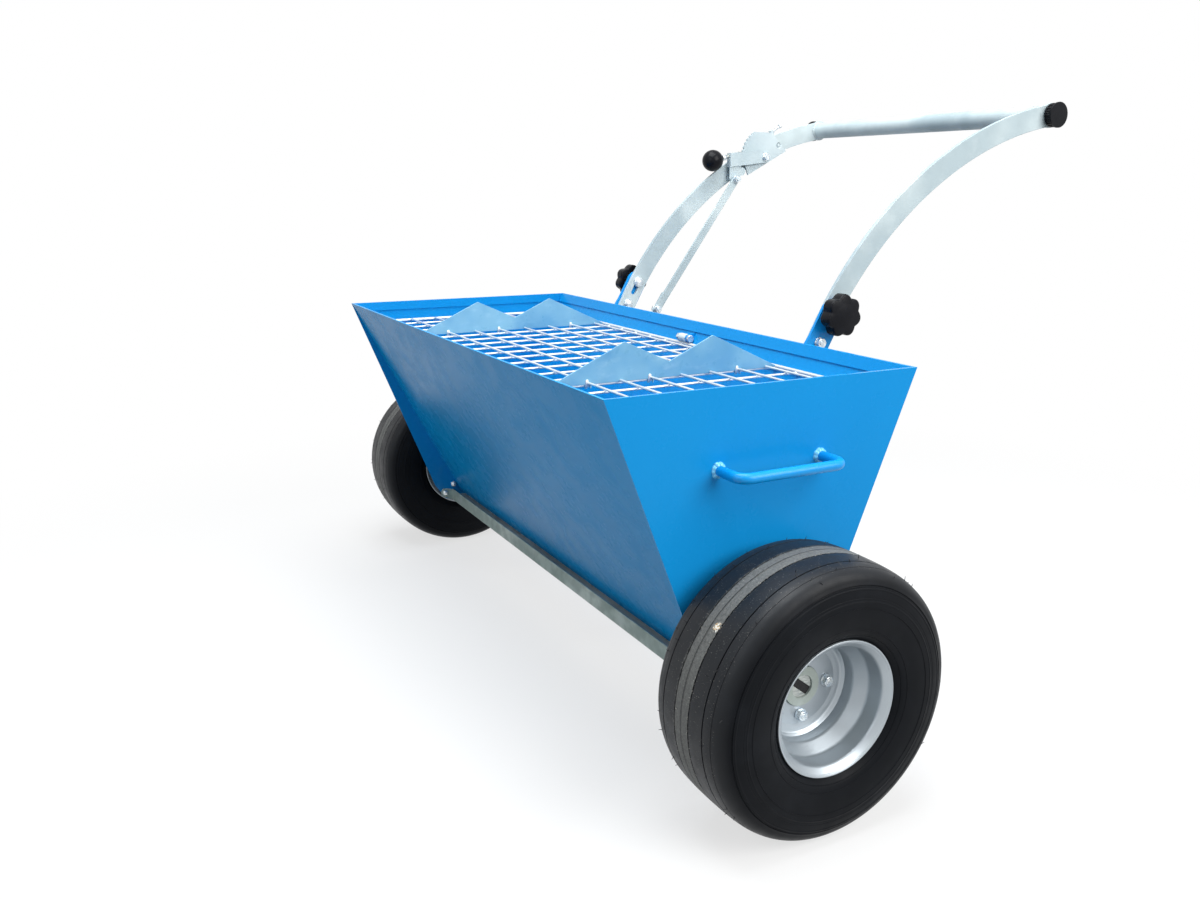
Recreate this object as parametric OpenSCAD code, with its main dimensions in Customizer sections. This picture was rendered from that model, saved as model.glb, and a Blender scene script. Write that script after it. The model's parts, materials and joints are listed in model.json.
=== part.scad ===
// Walk-behind box spreader: hopper on two ground-driven wheels, with a curved handle and a shutter lever
// Millimetres. X runs along the hopper, the handle is on the +Y side, Z is up and the ground is Z = 0.

/* [Hopper] */
// Length of the hopper over its end plates
hopper_len = 1404; // [1390:2:1420]
// Width of the hopper over its rim
rim_w = 622; // [612:2:632]
// Height of the rim above the ground
rim_z = 719; // [712:1:724]
// Width of the outlet between the outer faces of the two long sheets
throat_w = 47.6; // [46:0.2:50]
// Height of the lower edge of the long sheets
throat_z = 166; // [165:0.5:167]
// Thickness of the long sheets
sheet_t = 2.5; // [2:0.1:3]
// Thickness of the end plates
plate_t = 3; // [2.5:0.1:4]
// Height of the hem folded inside the rim
hem_h = 22; // [18:1:24]

/* [Wheels] */
// Outside radius of the tyres
tyre_r = 234; // [230:1:238]
// Width of the tyres
tyre_w = 200; // [190:2:210]
// Distance from the middle of the hopper to the middle of each tyre
wheel_x = 814; // [810:1:818]
// Radius of the rim flange
flange_r = 115; // [113:0.5:117]
// Outside radius of the seat that the tyre bead sits on
bead_r = 103.6; // [102:0.2:105]
// Radius of the wheel bolt circle
bolt_circle_r = 50; // [49:0.5:52]
// Radius of the axle shaft
shaft_r = 20; // [19:0.5:21]

/* [Handle] */
// Radius of the curved arms at their middle line
arc_r = 840; // [838:1:842]
// Width of the flat bar of the arms
arm_w = 46.5; // [45:0.5:48]
// Thickness of the flat bar of the arms
arm_t = 8; // [7:0.5:8]
// Outer radius of the cross tube
tube_r = 21.2; // [20:0.2:22]
// Travel of the handle in its slots
slot_travel = 30; // [24:1:32]
// Outside radius of the star knobs
knob_r = 43; // [40:0.5:45]

/* [Lever] */
// Radius of the toothed edge of the quadrant
tooth_r = 74; // [73:0.25:74.25]
// Radius of the ball knob
ball_r = 28; // [24:0.5:30]
// Width of the link bars
link_w = 20; // [18:0.5:22]

/* [Grate] */
// Distance between the wires that run across the hopper
wire_pitch_x = 70; // [68:1:71]
// Distance between the wires that run along the hopper
wire_pitch_y = 67; // [65:0.5:68]
// Thickness of the wires
wire_d = 5; // [4.4:0.1:5.4]
// Height of the peaks of the bag cutters above the wires
cutter_h = 74; // [60:1:80]

/* [Feed] */
// Radius of the feed roller without its ribs
roller_r = 38; // [34:0.5:40]
// Height of the ribs of the feed roller
rib_h = 8; // [5:0.5:9]

/* [Hidden] */
$fn = 48;
axle_z = tyre_r;
half_len = hopper_len / 2;
inner_x = half_len - plate_t;
half_w = rim_w / 2;
half_throat = throat_w / 2;
slope = (half_w - half_throat) / (rim_z - throat_z);
lean = sqrt(1 + slope * slope);
sheet_flat = sheet_t * lean;
hem_z = rim_z - hem_h;
arm_in = 382;
arm_out = arm_in + arm_t;
tube_a = 99.3;
knob_a = 149.4;
lower_a = 153.8;
end_a = 157.2;
bolt_y = half_w + 66.977;
bolt_z = rim_z + 55.595;
arc_y = bolt_y - arc_r * cos(knob_a);
arc_z = bolt_z - arc_r * sin(knob_a);
tube_y = arc_y + arc_r * cos(tube_a);
tube_z = arc_z + arc_r * sin(tube_a);
plug_r = 27;
mid_y = (tube_y + plug_r - half_w) / 2;
low_y = arc_y + arc_r * cos(lower_a);
low_z = arc_z + arc_r * sin(lower_a);
slide_y = 0.4756;
slide_z = 0.8796;
bracket_t = 6;
bracket_out = arm_out + bracket_t;
pivot_y = 766;
pivot_z = 1101;
link_top_y = 664.5;
link_top_z = 1041;
joint_y = half_w + 111;
joint_z = rim_z - 17;
hinge_y = 62;
hinge_z = 205;
crank_y = 54.3;
crank_z = 120;
link_x = -359;
bar_t = 5;
crank_x = -356;
crank_t = 6;
pin_y = 598;
pin_z = 1089;
pin_a = 13.1;
pin_x = -372.5;
latch_r = 3.5;
cheek_t = 3;
far_x = -380.5;
near_x = -365.5;
tab_x = near_x - cheek_t;
quad_x = -376;
quad_t = 5;
notch_a = 172.7;
notch_pitch = 9;
notch_count = 6;
grate_z = rim_z - 50.2;
rod_r = 4;
wire_drop = 2.52;
rod_y = (half_throat + slope * (grate_z - throat_z) - sheet_flat) - 4.33 * lean;
rod_x = inner_x - 12;
tilt_y = half_w - 33;
tilt_z = rim_z - 36.5;
tilt_r = 9.4;
lift_r = 9;
lift_x = half_len + 62;
lift_z = rim_z - 134;
lift_half = 103;
lift_bend = 21;
boss_r = 38;
boss_x = 25;
house_r = 55;
house_t = 10;
house_bolt_r = 46.5;
bearing_r = 31;
disc_x = wheel_x - 8;
disc_t = 5;
hub_in = wheel_x - 69;
hub_face = wheel_x + 0.5;
shaft_end = wheel_x - 2.5;
key_w = 14;
key_l = 38;
key_d = 12;
key_a = -38.5;
leg_x = 250;
foot_y = 300;

// Shapes and directions used by several pieces

// Outer face of the long sheets at a height
function out_y(z) = half_throat + slope * (z - throat_z);
// Inner face of the long sheets at a height
function in_y(z) = out_y(z) - sheet_flat;
// A point moved by a distance along an angle
function polar(r, a) = [r * cos(a), r * sin(a)];
// Left normal of the segment from p to q
function normal(p, q) = [p[1] - q[1], q[0] - p[0]] / norm(q - p);
// Mitred shift of point i of a path
function mitre(p, i) = i == 0 ? normal(p[0], p[1])
  : i == len(p) - 1 ? normal(p[i - 1], p[i])
  : (normal(p[i - 1], p[i]) + normal(p[i], p[i + 1])) / (1 + normal(p[i - 1], p[i]) * normal(p[i], p[i + 1]));
// Outline of a bent sheet of thickness t on the left side of a path
function ribbon(p, t) = concat(p, [for (i = [len(p) - 1:-1:0]) p[i] + t * mitre(p, i)]);

// Every piece is drawn about the axle and then set so that the box of the whole object is centred
module placed() {
  translate([0, -mid_y, 0]) children();
}
// A side view (Y to the right, Z up) given its thickness along X
module along_x(x0, x1) {
  translate([x0, 0, 0]) rotate([90, 0, 90]) linear_extrude(x1 - x0) children();
}
// A profile (radius, X) turned about a line along X
module about_x(y, z) {
  translate([0, y, z]) rotate([90, 0, 90]) rotate_extrude($fn = 96) children();
}
// The same piece on the right (1) or the left (-1)
module side(s) {
  mirror([s < 0 ? 1 : 0, 0, 0]) children();
}
// A round bar or bore along X
module bar_x(y, z, x0, x1, r) {
  translate([x0, y, z]) rotate([0, 90, 0]) cylinder(h = x1 - x0, r = r);
}
// A hexagon along X
module hex_x(y, z, x0, x1, af) {
  translate([x0, y, z]) rotate([0, 90, 0]) rotate([0, 0, 30]) cylinder(h = x1 - x0, r = af / 2 / cos(30), $fn = 6);
}
// A bolt along X that clamps x0 to x1, with its head past x1 and its nut past x0
module bolt_x(y, z, x0, x1, d, af, wash_r, wash_t) {
  head = 0.64 * d;
  nut = 0.8 * d;
  bar_x(y, z, x0 - wash_t - nut - 0.25 * d, x1 + wash_t + head / 2, d / 2);
  bar_x(y, z, x1, x1 + wash_t, wash_r);
  bar_x(y, z, x0 - wash_t, x0, wash_r);
  hex_x(y, z, x1 + wash_t - 0.2, x1 + wash_t + head, af);
  hex_x(y, z, x0 - wash_t - nut, x0 - wash_t + 0.2, af);
}
// A round bar or bore square to the rear sheet's outer face, from depth d0 to d1 outward
module sheet_bar(x, z, d0, d1, r, fn = 48) {
  translate([x, out_y(z), z]) rotate([-90 - atan(slope), 0, 0]) translate([0, 0, d0])
    cylinder(h = d1 - d0, r = r, $fn = fn);
}

// Hopper

module sheet_section() {
  hem_flat = sheet_flat;
  polygon([[out_y(throat_z), throat_z], [out_y(rim_z), rim_z], [in_y(rim_z) - hem_flat, rim_z],
    [in_y(hem_z) - hem_flat, hem_z], [in_y(hem_z), hem_z], [in_y(throat_z), throat_z]]);
}
stand_z0 = 400;
stand_z1 = 460;
module sheet_holes() {
  for (x = [-leg_x, leg_x], z = [stand_z0 + 12, stand_z1 - 12]) sheet_bar(x, z, -6, 3, 4.2);
}
module rear_sheet() {
  color("RoyalBlue") difference() {
    along_x(-inner_x, inner_x) sheet_section();
    sheet_holes();
  }
}
tab_y = 54;
tab_z0 = 180;
tab_z1 = 198;
strip_bolt_y = 71;
strip_bolt_z = 165;
sheet_bolt_y = 45.5;
sheet_bolt_z = 188.5;
module front_sheet() {
  color("RoyalBlue") difference() {
    union() {
      along_x(-inner_x, inner_x) mirror([1, 0]) sheet_section();
      for (s = [-1, 1]) side(s) along_x(inner_x - 3, inner_x)
        polygon([[-out_y(tab_z0) + 1, tab_z0], [-tab_y, tab_z0], [-tab_y, tab_z1 - 3], [-tab_y + 3, tab_z1],
          [-out_y(tab_z1) + 1, tab_z1]]);
    }
    for (s = [-1, 1]) side(s) bar_x(-sheet_bolt_y, sheet_bolt_z, inner_x - 5, inner_x + 1, 4.2);
  }
}
module end_plate() {
  difference() {
    union() {
      along_x(inner_x, half_len) difference() {
        union() {
          polygon([[-half_w, rim_z], [-100, 190], [-70, 148], [64, 141], [100, 190], [half_w, rim_z]]);
          polygon([[-70, 148], [-47, 142], [45, 130], [64, 141]]);
          translate([47, 146]) circle(r = 16);
        }
        translate([0, axle_z]) circle(r = 24);
        for (a = [0:90:270]) translate([0, axle_z] + polar(house_bolt_r, a)) circle(r = 4.2);
        translate([-strip_bolt_y, strip_bolt_z]) circle(r = 4.2);
        translate([-sheet_bolt_y, sheet_bolt_z]) circle(r = 4.2);
      }
      along_x(inner_x - 3, inner_x) polygon([[-hem_end(rim_z), rim_z], [hem_end(rim_z), rim_z],
        [hem_end(hem_z), hem_z], [-hem_end(hem_z), hem_z]]);
    }
  }
}
function hem_end(z) = in_y(z) - sheet_flat - 0.2;
module right_end_plate() {
  color("RoyalBlue") side(1) end_plate();
}
module left_end_plate() {
  color("RoyalBlue") side(-1) end_plate();
}
module front_strip() {
  color("Silver") difference() {
    union() {
      along_x(-inner_x, inner_x) polygon([[-50, 141.5], [-47, 141.5], [-47, 173.5], [-50, 173.5]]);
      for (s = [-1, 1]) side(s) along_x(inner_x - 3, inner_x)
        polygon([[-47, 142], [-64, 148], [-82, 156], [-84, 170], [-78, 177], [-66, 177], [-50, 172], [-47, 172]]);
    }
    for (s = [-1, 1]) side(s) bar_x(-strip_bolt_y, strip_bolt_z, inner_x - 5, inner_x + 1, 4.2);
  }
}
module strip_bolts() {
  color("Silver") for (s = [-1, 1]) side(s) {
    mirror([1, 0, 0]) bolt_x(-strip_bolt_y, strip_bolt_z, -half_len, -inner_x + 3, 8, 13, 8, 1.6);
    mirror([1, 0, 0]) bolt_x(-sheet_bolt_y, sheet_bolt_z, -half_len, -inner_x + 3, 8, 13, 8, 1.6);
  }
}
module lift_handle() {
  for (s = [-1, 1]) {
    bar_x(1 + s * lift_half, lift_z, half_len, lift_x - lift_bend, lift_r);
    about_x(1 + s * lift_half, lift_z) polygon([[0, half_len], [lift_r + 3.5, half_len], [lift_r, half_len + 4.5],
      [0, half_len + 4.5]]);
    translate([lift_x - lift_bend, 1 + s * (lift_half - lift_bend), lift_z]) rotate([0, 0, s < 0 ? -90 : 0])
      rotate_extrude(angle = 90) translate([lift_bend, 0]) circle(r = lift_r);
  }
  translate([lift_x, 1 - lift_half + lift_bend, lift_z]) rotate([-90, 0, 0])
    cylinder(h = 2 * (lift_half - lift_bend), r = lift_r);
}
module right_lift_handle() {
  color("RoyalBlue") side(1) lift_handle();
}
module left_lift_handle() {
  color("RoyalBlue") side(-1) lift_handle();
}

// Grate

function along_wire_y(i) = 13 + wire_pitch_y * (i - 3.5);
cross_wires = floor((rod_x - 10) / wire_pitch_x);
module grate_mesh() {
  reach_y = rod_y - rod_r;
  reach_x = rod_x - rod_r;
  color("White") {
    for (k = [-cross_wires:cross_wires])
      translate([wire_pitch_x * k, -reach_y, grate_z + wire_drop]) rotate([-90, 0, 0])
        rotate([0, 0, 22.5]) cylinder(h = 2 * reach_y, d = wire_d, $fn = 8);
    for (i = [-2:9]) if (abs(along_wire_y(i)) < rod_y - 22)
      translate([-reach_x, along_wire_y(i), grate_z - wire_drop]) rotate([0, 90, 0])
        rotate([0, 0, 22.5]) cylinder(h = 2 * reach_x, d = wire_d, $fn = 8);
  }
}
module grate_border() {
  bend = 14;
  color("Silver") {
    for (s = [-1, 1]) {
      bar_x(s * rod_y, grate_z, -rod_x + bend, rod_x - bend, rod_r);
      translate([s * rod_x, -rod_y + bend, grate_z]) rotate([-90, 0, 0]) cylinder(h = 2 * (rod_y - bend), r = rod_r);
    }
    for (a = [0:90:270]) {
      sx = (a == 0 || a == 270) ? 1 : -1;
      sy = (a == 0 || a == 90) ? 1 : -1;
      translate([sx * (rod_x - bend), sy * (rod_y - bend), grate_z]) rotate([0, 0, a])
        rotate_extrude(angle = 90) translate([bend, 0]) circle(r = rod_r);
    }
  }
}
cutter_y0 = -rod_y + 43.23;
cutter_y1 = rod_y - 5.23;
cutter_mid = 19;
module bag_cutter(x) {
  base_z = grate_z - wire_drop + wire_d / 2 + 0.1;
  color("CornflowerBlue") along_x(x - 1.5, x + 1.5) {
    polygon([[cutter_y0, base_z], [cutter_y1, base_z], [cutter_y1, base_z + 3],
      [cutter_mid + 98 + 2.5, base_z + cutter_h - 1], [cutter_mid + 98, base_z + cutter_h],
      [cutter_mid + 98 - 2.5, base_z + cutter_h - 1], [cutter_mid, base_z + 30],
      [cutter_mid - 98 + 2.5, base_z + cutter_h - 1], [cutter_mid - 98, base_z + cutter_h],
      [cutter_mid - 98 - 2.5, base_z + cutter_h - 1], [cutter_y0, base_z + 3]]);
    for (i = [1, 3, 6]) difference() {
      translate([along_wire_y(i) - 8, grate_z - wire_drop - 5]) square([14, wire_d / 2 + 6]);
      translate([along_wire_y(i), grate_z - wire_drop]) circle(r = wire_d / 2 + 0.2);
      translate([along_wire_y(i) - wire_d / 2 - 0.2, grate_z - wire_drop - 8]) square([wire_d + 0.4, 8]);
    }
  }
}
module left_bag_cutter() {
  bag_cutter(-5.5 * wire_pitch_x);
}
module right_bag_cutter() {
  bag_cutter(5 * wire_pitch_x + wire_d / 2 + 1.7);
}
lug_x = 21;
lug_t = 5;
module grate_lug() {
  color("RoyalBlue") along_x(lug_x, lug_x + lug_t) difference() {
    union() {
      translate([tilt_y, tilt_z]) circle(r = tilt_r);
      polygon([[tilt_y + 4, tilt_z - tilt_r + 2], [in_y(rim_z - 45), rim_z - 45], [in_y(hem_z - 2), hem_z - 2],
        [tilt_y - 2, tilt_z + tilt_r - 0.2]]);
    }
    translate([tilt_y, tilt_z]) circle(r = 5.1);
  }
}
bush_x = -8;
module grate_bush() {
  color("Silver") along_x(bush_x, lug_x - 2.3) translate([tilt_y, tilt_z]) difference() {
    circle(r = tilt_r);
    circle(r = 5.08);
  }
}
module grate_bolt() {
  color("Silver") {
    bar_x(tilt_y, tilt_z, bush_x - 9, lug_x + 9, 5);
    bar_x(tilt_y, tilt_z, lug_x - 2.1, lug_x - 0.1, 8.8);
    bar_x(tilt_y, tilt_z, bush_x - 2.2, bush_x - 0.2, 8.8);
    hex_x(tilt_y, tilt_z, lug_x + lug_t + 0.1, lug_x + lug_t + 6.5, 16);
    hex_x(tilt_y, tilt_z, bush_x - 10.2, bush_x - 2.1, 16);
  }
}

// Handle

module arm_bracket() {
  n = [-slide_z, slide_y];
  k = [bolt_y, bolt_z];
  t = [slide_y, slide_z];
  along_x(arm_out, bracket_out) difference() {
    union() {
      translate(k) circle(r = 28);
      polygon([k + 28 * n, k + 28 * n - 60 * t, [out_y(rim_z - 14), rim_z - 14], [out_y(rim_z - 159), rim_z - 159],
        [half_w + 20.3, rim_z - 89.7], k - 28 * n]);
    }
    translate(k) circle(r = 6.1);
    translate([low_y, low_z]) circle(r = 6.1);
  }
}
module right_arm_bracket() {
  color("RoyalBlue") side(1) arm_bracket();
}
module left_arm_bracket() {
  color("RoyalBlue") side(-1) arm_bracket();
}
// Round-headed bolt with its head on the inner side of the arm
module coach_bolt(y, z, x1) {
  dome = 15.4;
  bar_x(y, z, arm_in - 0.2, x1, 6);
  intersection() {
    translate([arm_in - 9 + dome, y, z]) sphere(r = dome);
    bar_x(y, z, arm_in - 10, arm_in, 14.5);
  }
}
module knob_bolts() {
  color("Silver") for (s = [-1, 1]) side(s) coach_bolt(bolt_y, bolt_z, bracket_out + 30);
}
module arm_bolts() {
  color("Silver") for (s = [-1, 1]) side(s) {
    coach_bolt(low_y, low_z, bracket_out + 13);
    bar_x(low_y, low_z, bracket_out, bracket_out + 2, 11.5);
    hex_x(low_y, low_z, bracket_out + 1.8, bracket_out + 11, 19);
  }
}
module star_knob() {
  lobes = 7;
  hub_t = 13;
  head_t = 25;
  translate([0, bolt_y, bolt_z]) rotate([90, 0, 90]) difference() {
    union() {
      translate([0, 0, bracket_out + 0.1]) linear_extrude(hub_t) {
        circle(r = 24);
        for (i = [0:13]) rotate(i * 360 / 14) translate([23, 0]) circle(r = 3.5, $fn = 24);
      }
      translate([0, 0, bracket_out + hub_t]) linear_extrude(head_t) difference() {
        union() {
          circle(r = knob_r - 6);
          for (i = [0:lobes - 1]) rotate(i * 360 / lobes) translate([knob_r - 14, 0]) circle(r = 14);
        }
        for (i = [0:lobes - 1]) rotate((i + 0.5) * 360 / lobes) translate([knob_r + 4, 0]) circle(r = 9);
      }
      translate([0, 0, bracket_out + hub_t + head_t - 1]) cylinder(h = 3.5, r1 = knob_r - 9, r2 = knob_r - 19);
      translate([0, 0, bracket_out + hub_t + head_t + 2.4]) cylinder(h = 1.6, r1 = knob_r - 19, r2 = knob_r - 33);
    }
    translate([0, 0, bracket_out - 1]) cylinder(h = 33, r = 6.06);
  }
}
module right_star_knob() {
  color("DimGray") side(1) star_knob();
}
module left_star_knob() {
  color("DimGray") side(-1) star_knob();
}
// A curved slice of the arm between two angles
module arc_bar(a0, a1, x0, x1) {
  translate([x0, arc_y, arc_z]) rotate([90, 0, 90]) rotate([0, 0, a0]) rotate_extrude(angle = a1 - a0, $fn = 180)
    polygon([[arc_r - arm_w / 2, 0], [arc_r + arm_w / 2, 0], [arc_r + arm_w / 2, x1 - x0],
      [arc_r - arm_w / 2, x1 - x0]]);
}
slot_r = 6.8;
module slot_cut(y, z) {
  along_x(arm_in - 1, arm_out + 1) {
    translate([y, z]) circle(r = slot_r);
    translate([y - slot_travel * slide_y, z - slot_travel * slide_z]) circle(r = slot_r);
    polygon([for (p = [[-1, 0], [1, 0], [1, 1], [-1, 1]])
      [y - p[0] * slot_r * slide_z - p[1] * slot_travel * slide_y,
      z + p[0] * slot_r * slide_y - p[1] * slot_travel * slide_z]]);
  }
}
module arm() {
  difference() {
    union() {
      arc_bar(tube_a - 0.4, end_a, arm_in, arm_out);
      bar_x(tube_y, tube_z, arm_in, arm_out, 26);
    }
    bar_x(tube_y, tube_z, arm_in - 1, arm_out + 1, tube_r + 0.05);
    slot_cut(bolt_y, bolt_z);
    slot_cut(low_y, low_z);
    children();
  }
}
quad_bolt_y = 815;
quad_bolt_z = 1133;
// The lever group is drawn for the usual handle and moves with the arm when its radius changes
pivot_a = 113.9555;
lever_dy = arc_y + (arc_r - 14.93) * cos(pivot_a) - pivot_y;
lever_dz = arc_z + (arc_r - 14.93) * sin(pivot_a) - pivot_z;
module at_lever() {
  translate([0, lever_dy, lever_dz]) children();
}
module right_arm() {
  color("LightGray") side(1) arm();
}
module left_arm() {
  color("LightGray") side(-1) arm() {
    at_lever() bar_x(pivot_y, pivot_z, arm_in - 1, arm_out + 1, 5.1);
    at_lever() bar_x(quad_bolt_y, quad_bolt_z, arm_in - 1, arm_out + 1, 4.2);
  }
}
module cross_tube() {
  tube_x = arm_out + 8;
  color("LightGray") difference() {
    union() {
      bar_x(tube_y, tube_z, -tube_x, tube_x, tube_r);
      for (s = [-1, 1]) side(s) about_x(tube_y, tube_z)
        polygon([[tube_r - 1, arm_in - 5], [tube_r, arm_in - 5], [tube_r + 4, arm_in], [tube_r - 1, arm_in]]);
    }
    bar_x(tube_y, tube_z, -tube_x - 1, tube_x + 1, tube_r - 2.5);
  }
}
module tube_plugs() {
  color("DimGray") for (s = [-1, 1]) side(s) difference() {
    union() {
      bar_x(tube_y, tube_z, arm_out + 3, arm_out + 17, 24);
      bar_x(tube_y, tube_z, arm_out + 17, arm_out + 21, plug_r);
      bar_x(tube_y, tube_z, arm_out + 3, arm_out + 6, 25.5);
      translate([0, tube_y, tube_z]) rotate([90, 0, 90]) for (i = [0:19]) rotate(i * 18)
        translate([23, -1, arm_out + 3]) cube([2.5, 2, 15]);
    }
    bar_x(tube_y, tube_z, arm_out, arm_out + 8, tube_r + 0.05);
  }
}

// Lever group

module quadrant() {
  p = [pivot_y, pivot_z];
  d = [0.868, 0.496];
  n = [-0.496, 0.868];
  c = [796, 1166];
  color("Gainsboro") at_lever() difference() {
    union() {
      along_x(quad_x, quad_x + quad_t) difference() {
        union() {
          intersection() {
            translate(p) circle(r = tooth_r, $fn = 120);
            polygon([p, p + polar(110, 117.5), p + polar(110, 145), p + polar(110, 176)]);
          }
          polygon([p, p + polar(tooth_r - 0.6, 176), [715, 1053], [841, 1118], [791, 1165.4], [758, 1166.4],
            p + polar(tooth_r - 0.6, 117.5)]);
        }
        for (i = [0:notch_count - 1]) translate(p + polar(tooth_r + 0.6, notch_a - notch_pitch * i))
          circle(r = 3.6, $fn = 24);
        translate(p) circle(r = 5.1);
        translate([quad_bolt_y, quad_bolt_z]) circle(r = 4.2);
      }
      along_x(-arm_in + 0.5, quad_x + quad_t) polygon([c - 5 * n, c + 9 * n, c - 7 * d + 9 * n, c - 7 * d - 5 * n]);
      bar_x(quad_bolt_y, quad_bolt_z, -arm_in, quad_x, 9);
    }
    quadrant_screw_line() translate([0, 0, -9]) cylinder(h = 16, r = 3.06);
    about_x(quad_bolt_y, quad_bolt_z) polygon([[0, -arm_in - 1], [4.2, -arm_in - 1], [4.2, quad_x + quad_t - 4.05],
      [8.3, quad_x + quad_t + 0.05], [0, quad_x + quad_t + 0.05]]);
  }
}
// The line of the quadrant's adjusting screw, which points up and to the rear
module quadrant_screw_line() {
  n = [-0.496, 0.868];
  c = [796, 1166] + 4 * n;
  translate([quad_x + 0.5, c[0], c[1]]) rotate([-(90 - 29.7), 0, 0]) children();
}
module quadrant_screw() {
  color("Silver") at_lever() quadrant_screw_line() {
    translate([0, 0, -8.5]) cylinder(h = 40, r = 3);
    translate([0, 0, 26.5]) cylinder(h = 5.5, r = 5.77, $fn = 6);
    translate([0, 0, 0.1]) cylinder(h = 4, r = 5.77, $fn = 6);
  }
}
module quadrant_bolt() {
  color("Silver") at_lever() {
    about_x(quad_bolt_y, quad_bolt_z) polygon([[0, -arm_out - 10], [4, -arm_out - 10], [4, quad_x + quad_t - 4],
      [8, quad_x + quad_t - 0.05], [0, quad_x + quad_t - 0.05]]);
    bar_x(quad_bolt_y, quad_bolt_z, -arm_out - 1.6, -arm_out, 8);
    hex_x(quad_bolt_y, quad_bolt_z, -arm_out - 8, -arm_out - 1.4, 13);
  }
}
module lever_bolt() {
  color("Silver") at_lever() {
    bar_x(pivot_y, pivot_z, -arm_out - 13, near_x + cheek_t + 5, 5);
    bar_x(pivot_y, pivot_z, -arm_out - 2, -arm_out, 10);
    hex_x(pivot_y, pivot_z, -arm_out - 10, -arm_out - 1.8, 17);
    bar_x(pivot_y, pivot_z, -arm_in, far_x - 0.1, 9);
    bar_x(pivot_y, pivot_z, far_x + cheek_t + 0.1, quad_x, 9);
    bar_x(pivot_y, pivot_z, quad_x + quad_t, near_x - 0.1, 8);
    bar_x(pivot_y, pivot_z, near_x + cheek_t + 0.1, near_x + cheek_t + 2, 11);
    hex_x(pivot_y, pivot_z, near_x + cheek_t + 1.8, near_x + cheek_t + 9, 17);
  }
}
module cheek(x) {
  along_x(x, x + cheek_t) difference() {
    union() {
      polygon([[650, 1073.2], [772, 1087.2], [760, 1114], [748, 1118], [650, 1109.4]]);
      translate([pivot_y, pivot_z]) circle(r = 15);
    }
    translate([pivot_y, pivot_z]) circle(r = 5.08);
  }
}
// The line of the latch pin, from the ball knob toward the teeth
module latch_line(s) {
  translate([pin_x, pin_y, pin_z]) rotate([-(90 - pin_a), 0, 0]) translate([0, 0, s]) children();
}
module lever_bracket() {
  color("Gainsboro") at_lever() difference() {
    union() {
      cheek(far_x);
      cheek(near_x);
      along_x(far_x, near_x + cheek_t) polygon([[650, 1073.2], [653, 1073.5], [653, 1109.7], [650, 1109.4]]);
      along_x(tab_x, near_x + 0.1) {
        polygon([[650, 1044], [656, 1034], [672, 1031], [684, 1040], [687, 1052], [687, 1090], [650, 1090]]);
        translate([link_top_y, link_top_z]) circle(r = 12);
        translate([691, 1062]) circle(r = 10.5);
      }
    }
    latch_line(50) cylinder(h = 20, r = latch_r + 0.1);
    bar_x(link_top_y, link_top_z, tab_x - 1, near_x + 1, 5.1);
  }
}
latch_len = 94.8;
module latch_pin() {
  color("Silver") at_lever() {
    latch_line(18) cylinder(h = latch_len - 18, r = latch_r);
    latch_line(latch_len - 9) cylinder(h = 3, r = 5);
    latch_line(44) cylinder(h = 3, r = 6);
  }
}
module latch_nut() {
  color("Silver") at_lever() latch_line(31) difference() {
    cylinder(h = 8, r = 8.1, $fn = 6);
    translate([0, 0, -1]) cylinder(h = 10, r = latch_r);
  }
}
module ball_knob() {
  color("DimGray") at_lever() difference() {
    union() {
      latch_line(0) sphere(r = ball_r);
      latch_line(20) cylinder(h = 10.8, r = 8);
    }
    latch_line(18) cylinder(h = 20, r = latch_r);
  }
}
// The latch spring is one tube wound round the pin between the web of the lever and the collar
spring_r = 4.35;
spring_wire = 0.42;
spring_turns = 8;
spring_s0 = 58.2;
spring_len = latch_len - 9 - 0.5 - spring_s0;
module latch_spring() {
  per_turn = 8;
  sides = 6;
  rings = spring_turns * per_turn;
  rise = spring_len / rings;
  points = [for (k = [0:rings], j = [0:sides - 1])
    let (a = k * 360 / per_turn, b = j * 360 / sides, r = spring_r + spring_wire * cos(b))
      [r * cos(a), r * sin(a), k * rise + spring_wire * sin(b)]];
  faces = concat([[for (j = [0:sides - 1]) j]], [[for (j = [sides - 1:-1:0]) rings * sides + j]],
    [for (k = [0:rings - 1], j = [0:sides - 1]) let (m = (j + 1) % sides)
      [k * sides + j, (k + 1) * sides + j, (k + 1) * sides + m, k * sides + m]]);
  color("Silver") at_lever() latch_line(spring_s0) polyhedron(points, faces, convexity = 8);
}
echo(spring_gap = spring_len / spring_turns - 2 * spring_wire);

// Link and shutter

// A flat bar in side view between two points, with rounded ends
module flat_link(p, q, w) {
  n = normal(p, q);
  translate(p) circle(r = w / 2);
  translate(q) circle(r = w / 2);
  polygon([p - n * w / 2, q - n * w / 2, q + n * w / 2, p + n * w / 2]);
}
module link_bar() {
  color("Gainsboro") along_x(link_x, link_x + bar_t) difference() {
    flat_link([link_top_y + lever_dy, link_top_z + lever_dz], [joint_y, joint_z], link_w);
    translate([link_top_y + lever_dy, link_top_z + lever_dz]) circle(r = 5.1);
    translate([joint_y, joint_z]) circle(r = 5.1);
  }
}
module link_bolts() {
  color("Silver") {
    at_lever() mirror([1, 0, 0]) bolt_x(link_top_y, link_top_z, -link_x - bar_t, -tab_x, 10, 16, 9.6, 1.6);
    at_lever() bar_x(link_top_y, link_top_z, near_x + 0.2, link_x - 0.1, 8.5);
    mirror([1, 0, 0]) bolt_x(joint_y, joint_z, -link_x - bar_t, -link_x + bar_t, 10, 16, 9.8, 1.6);
  }
}
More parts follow.
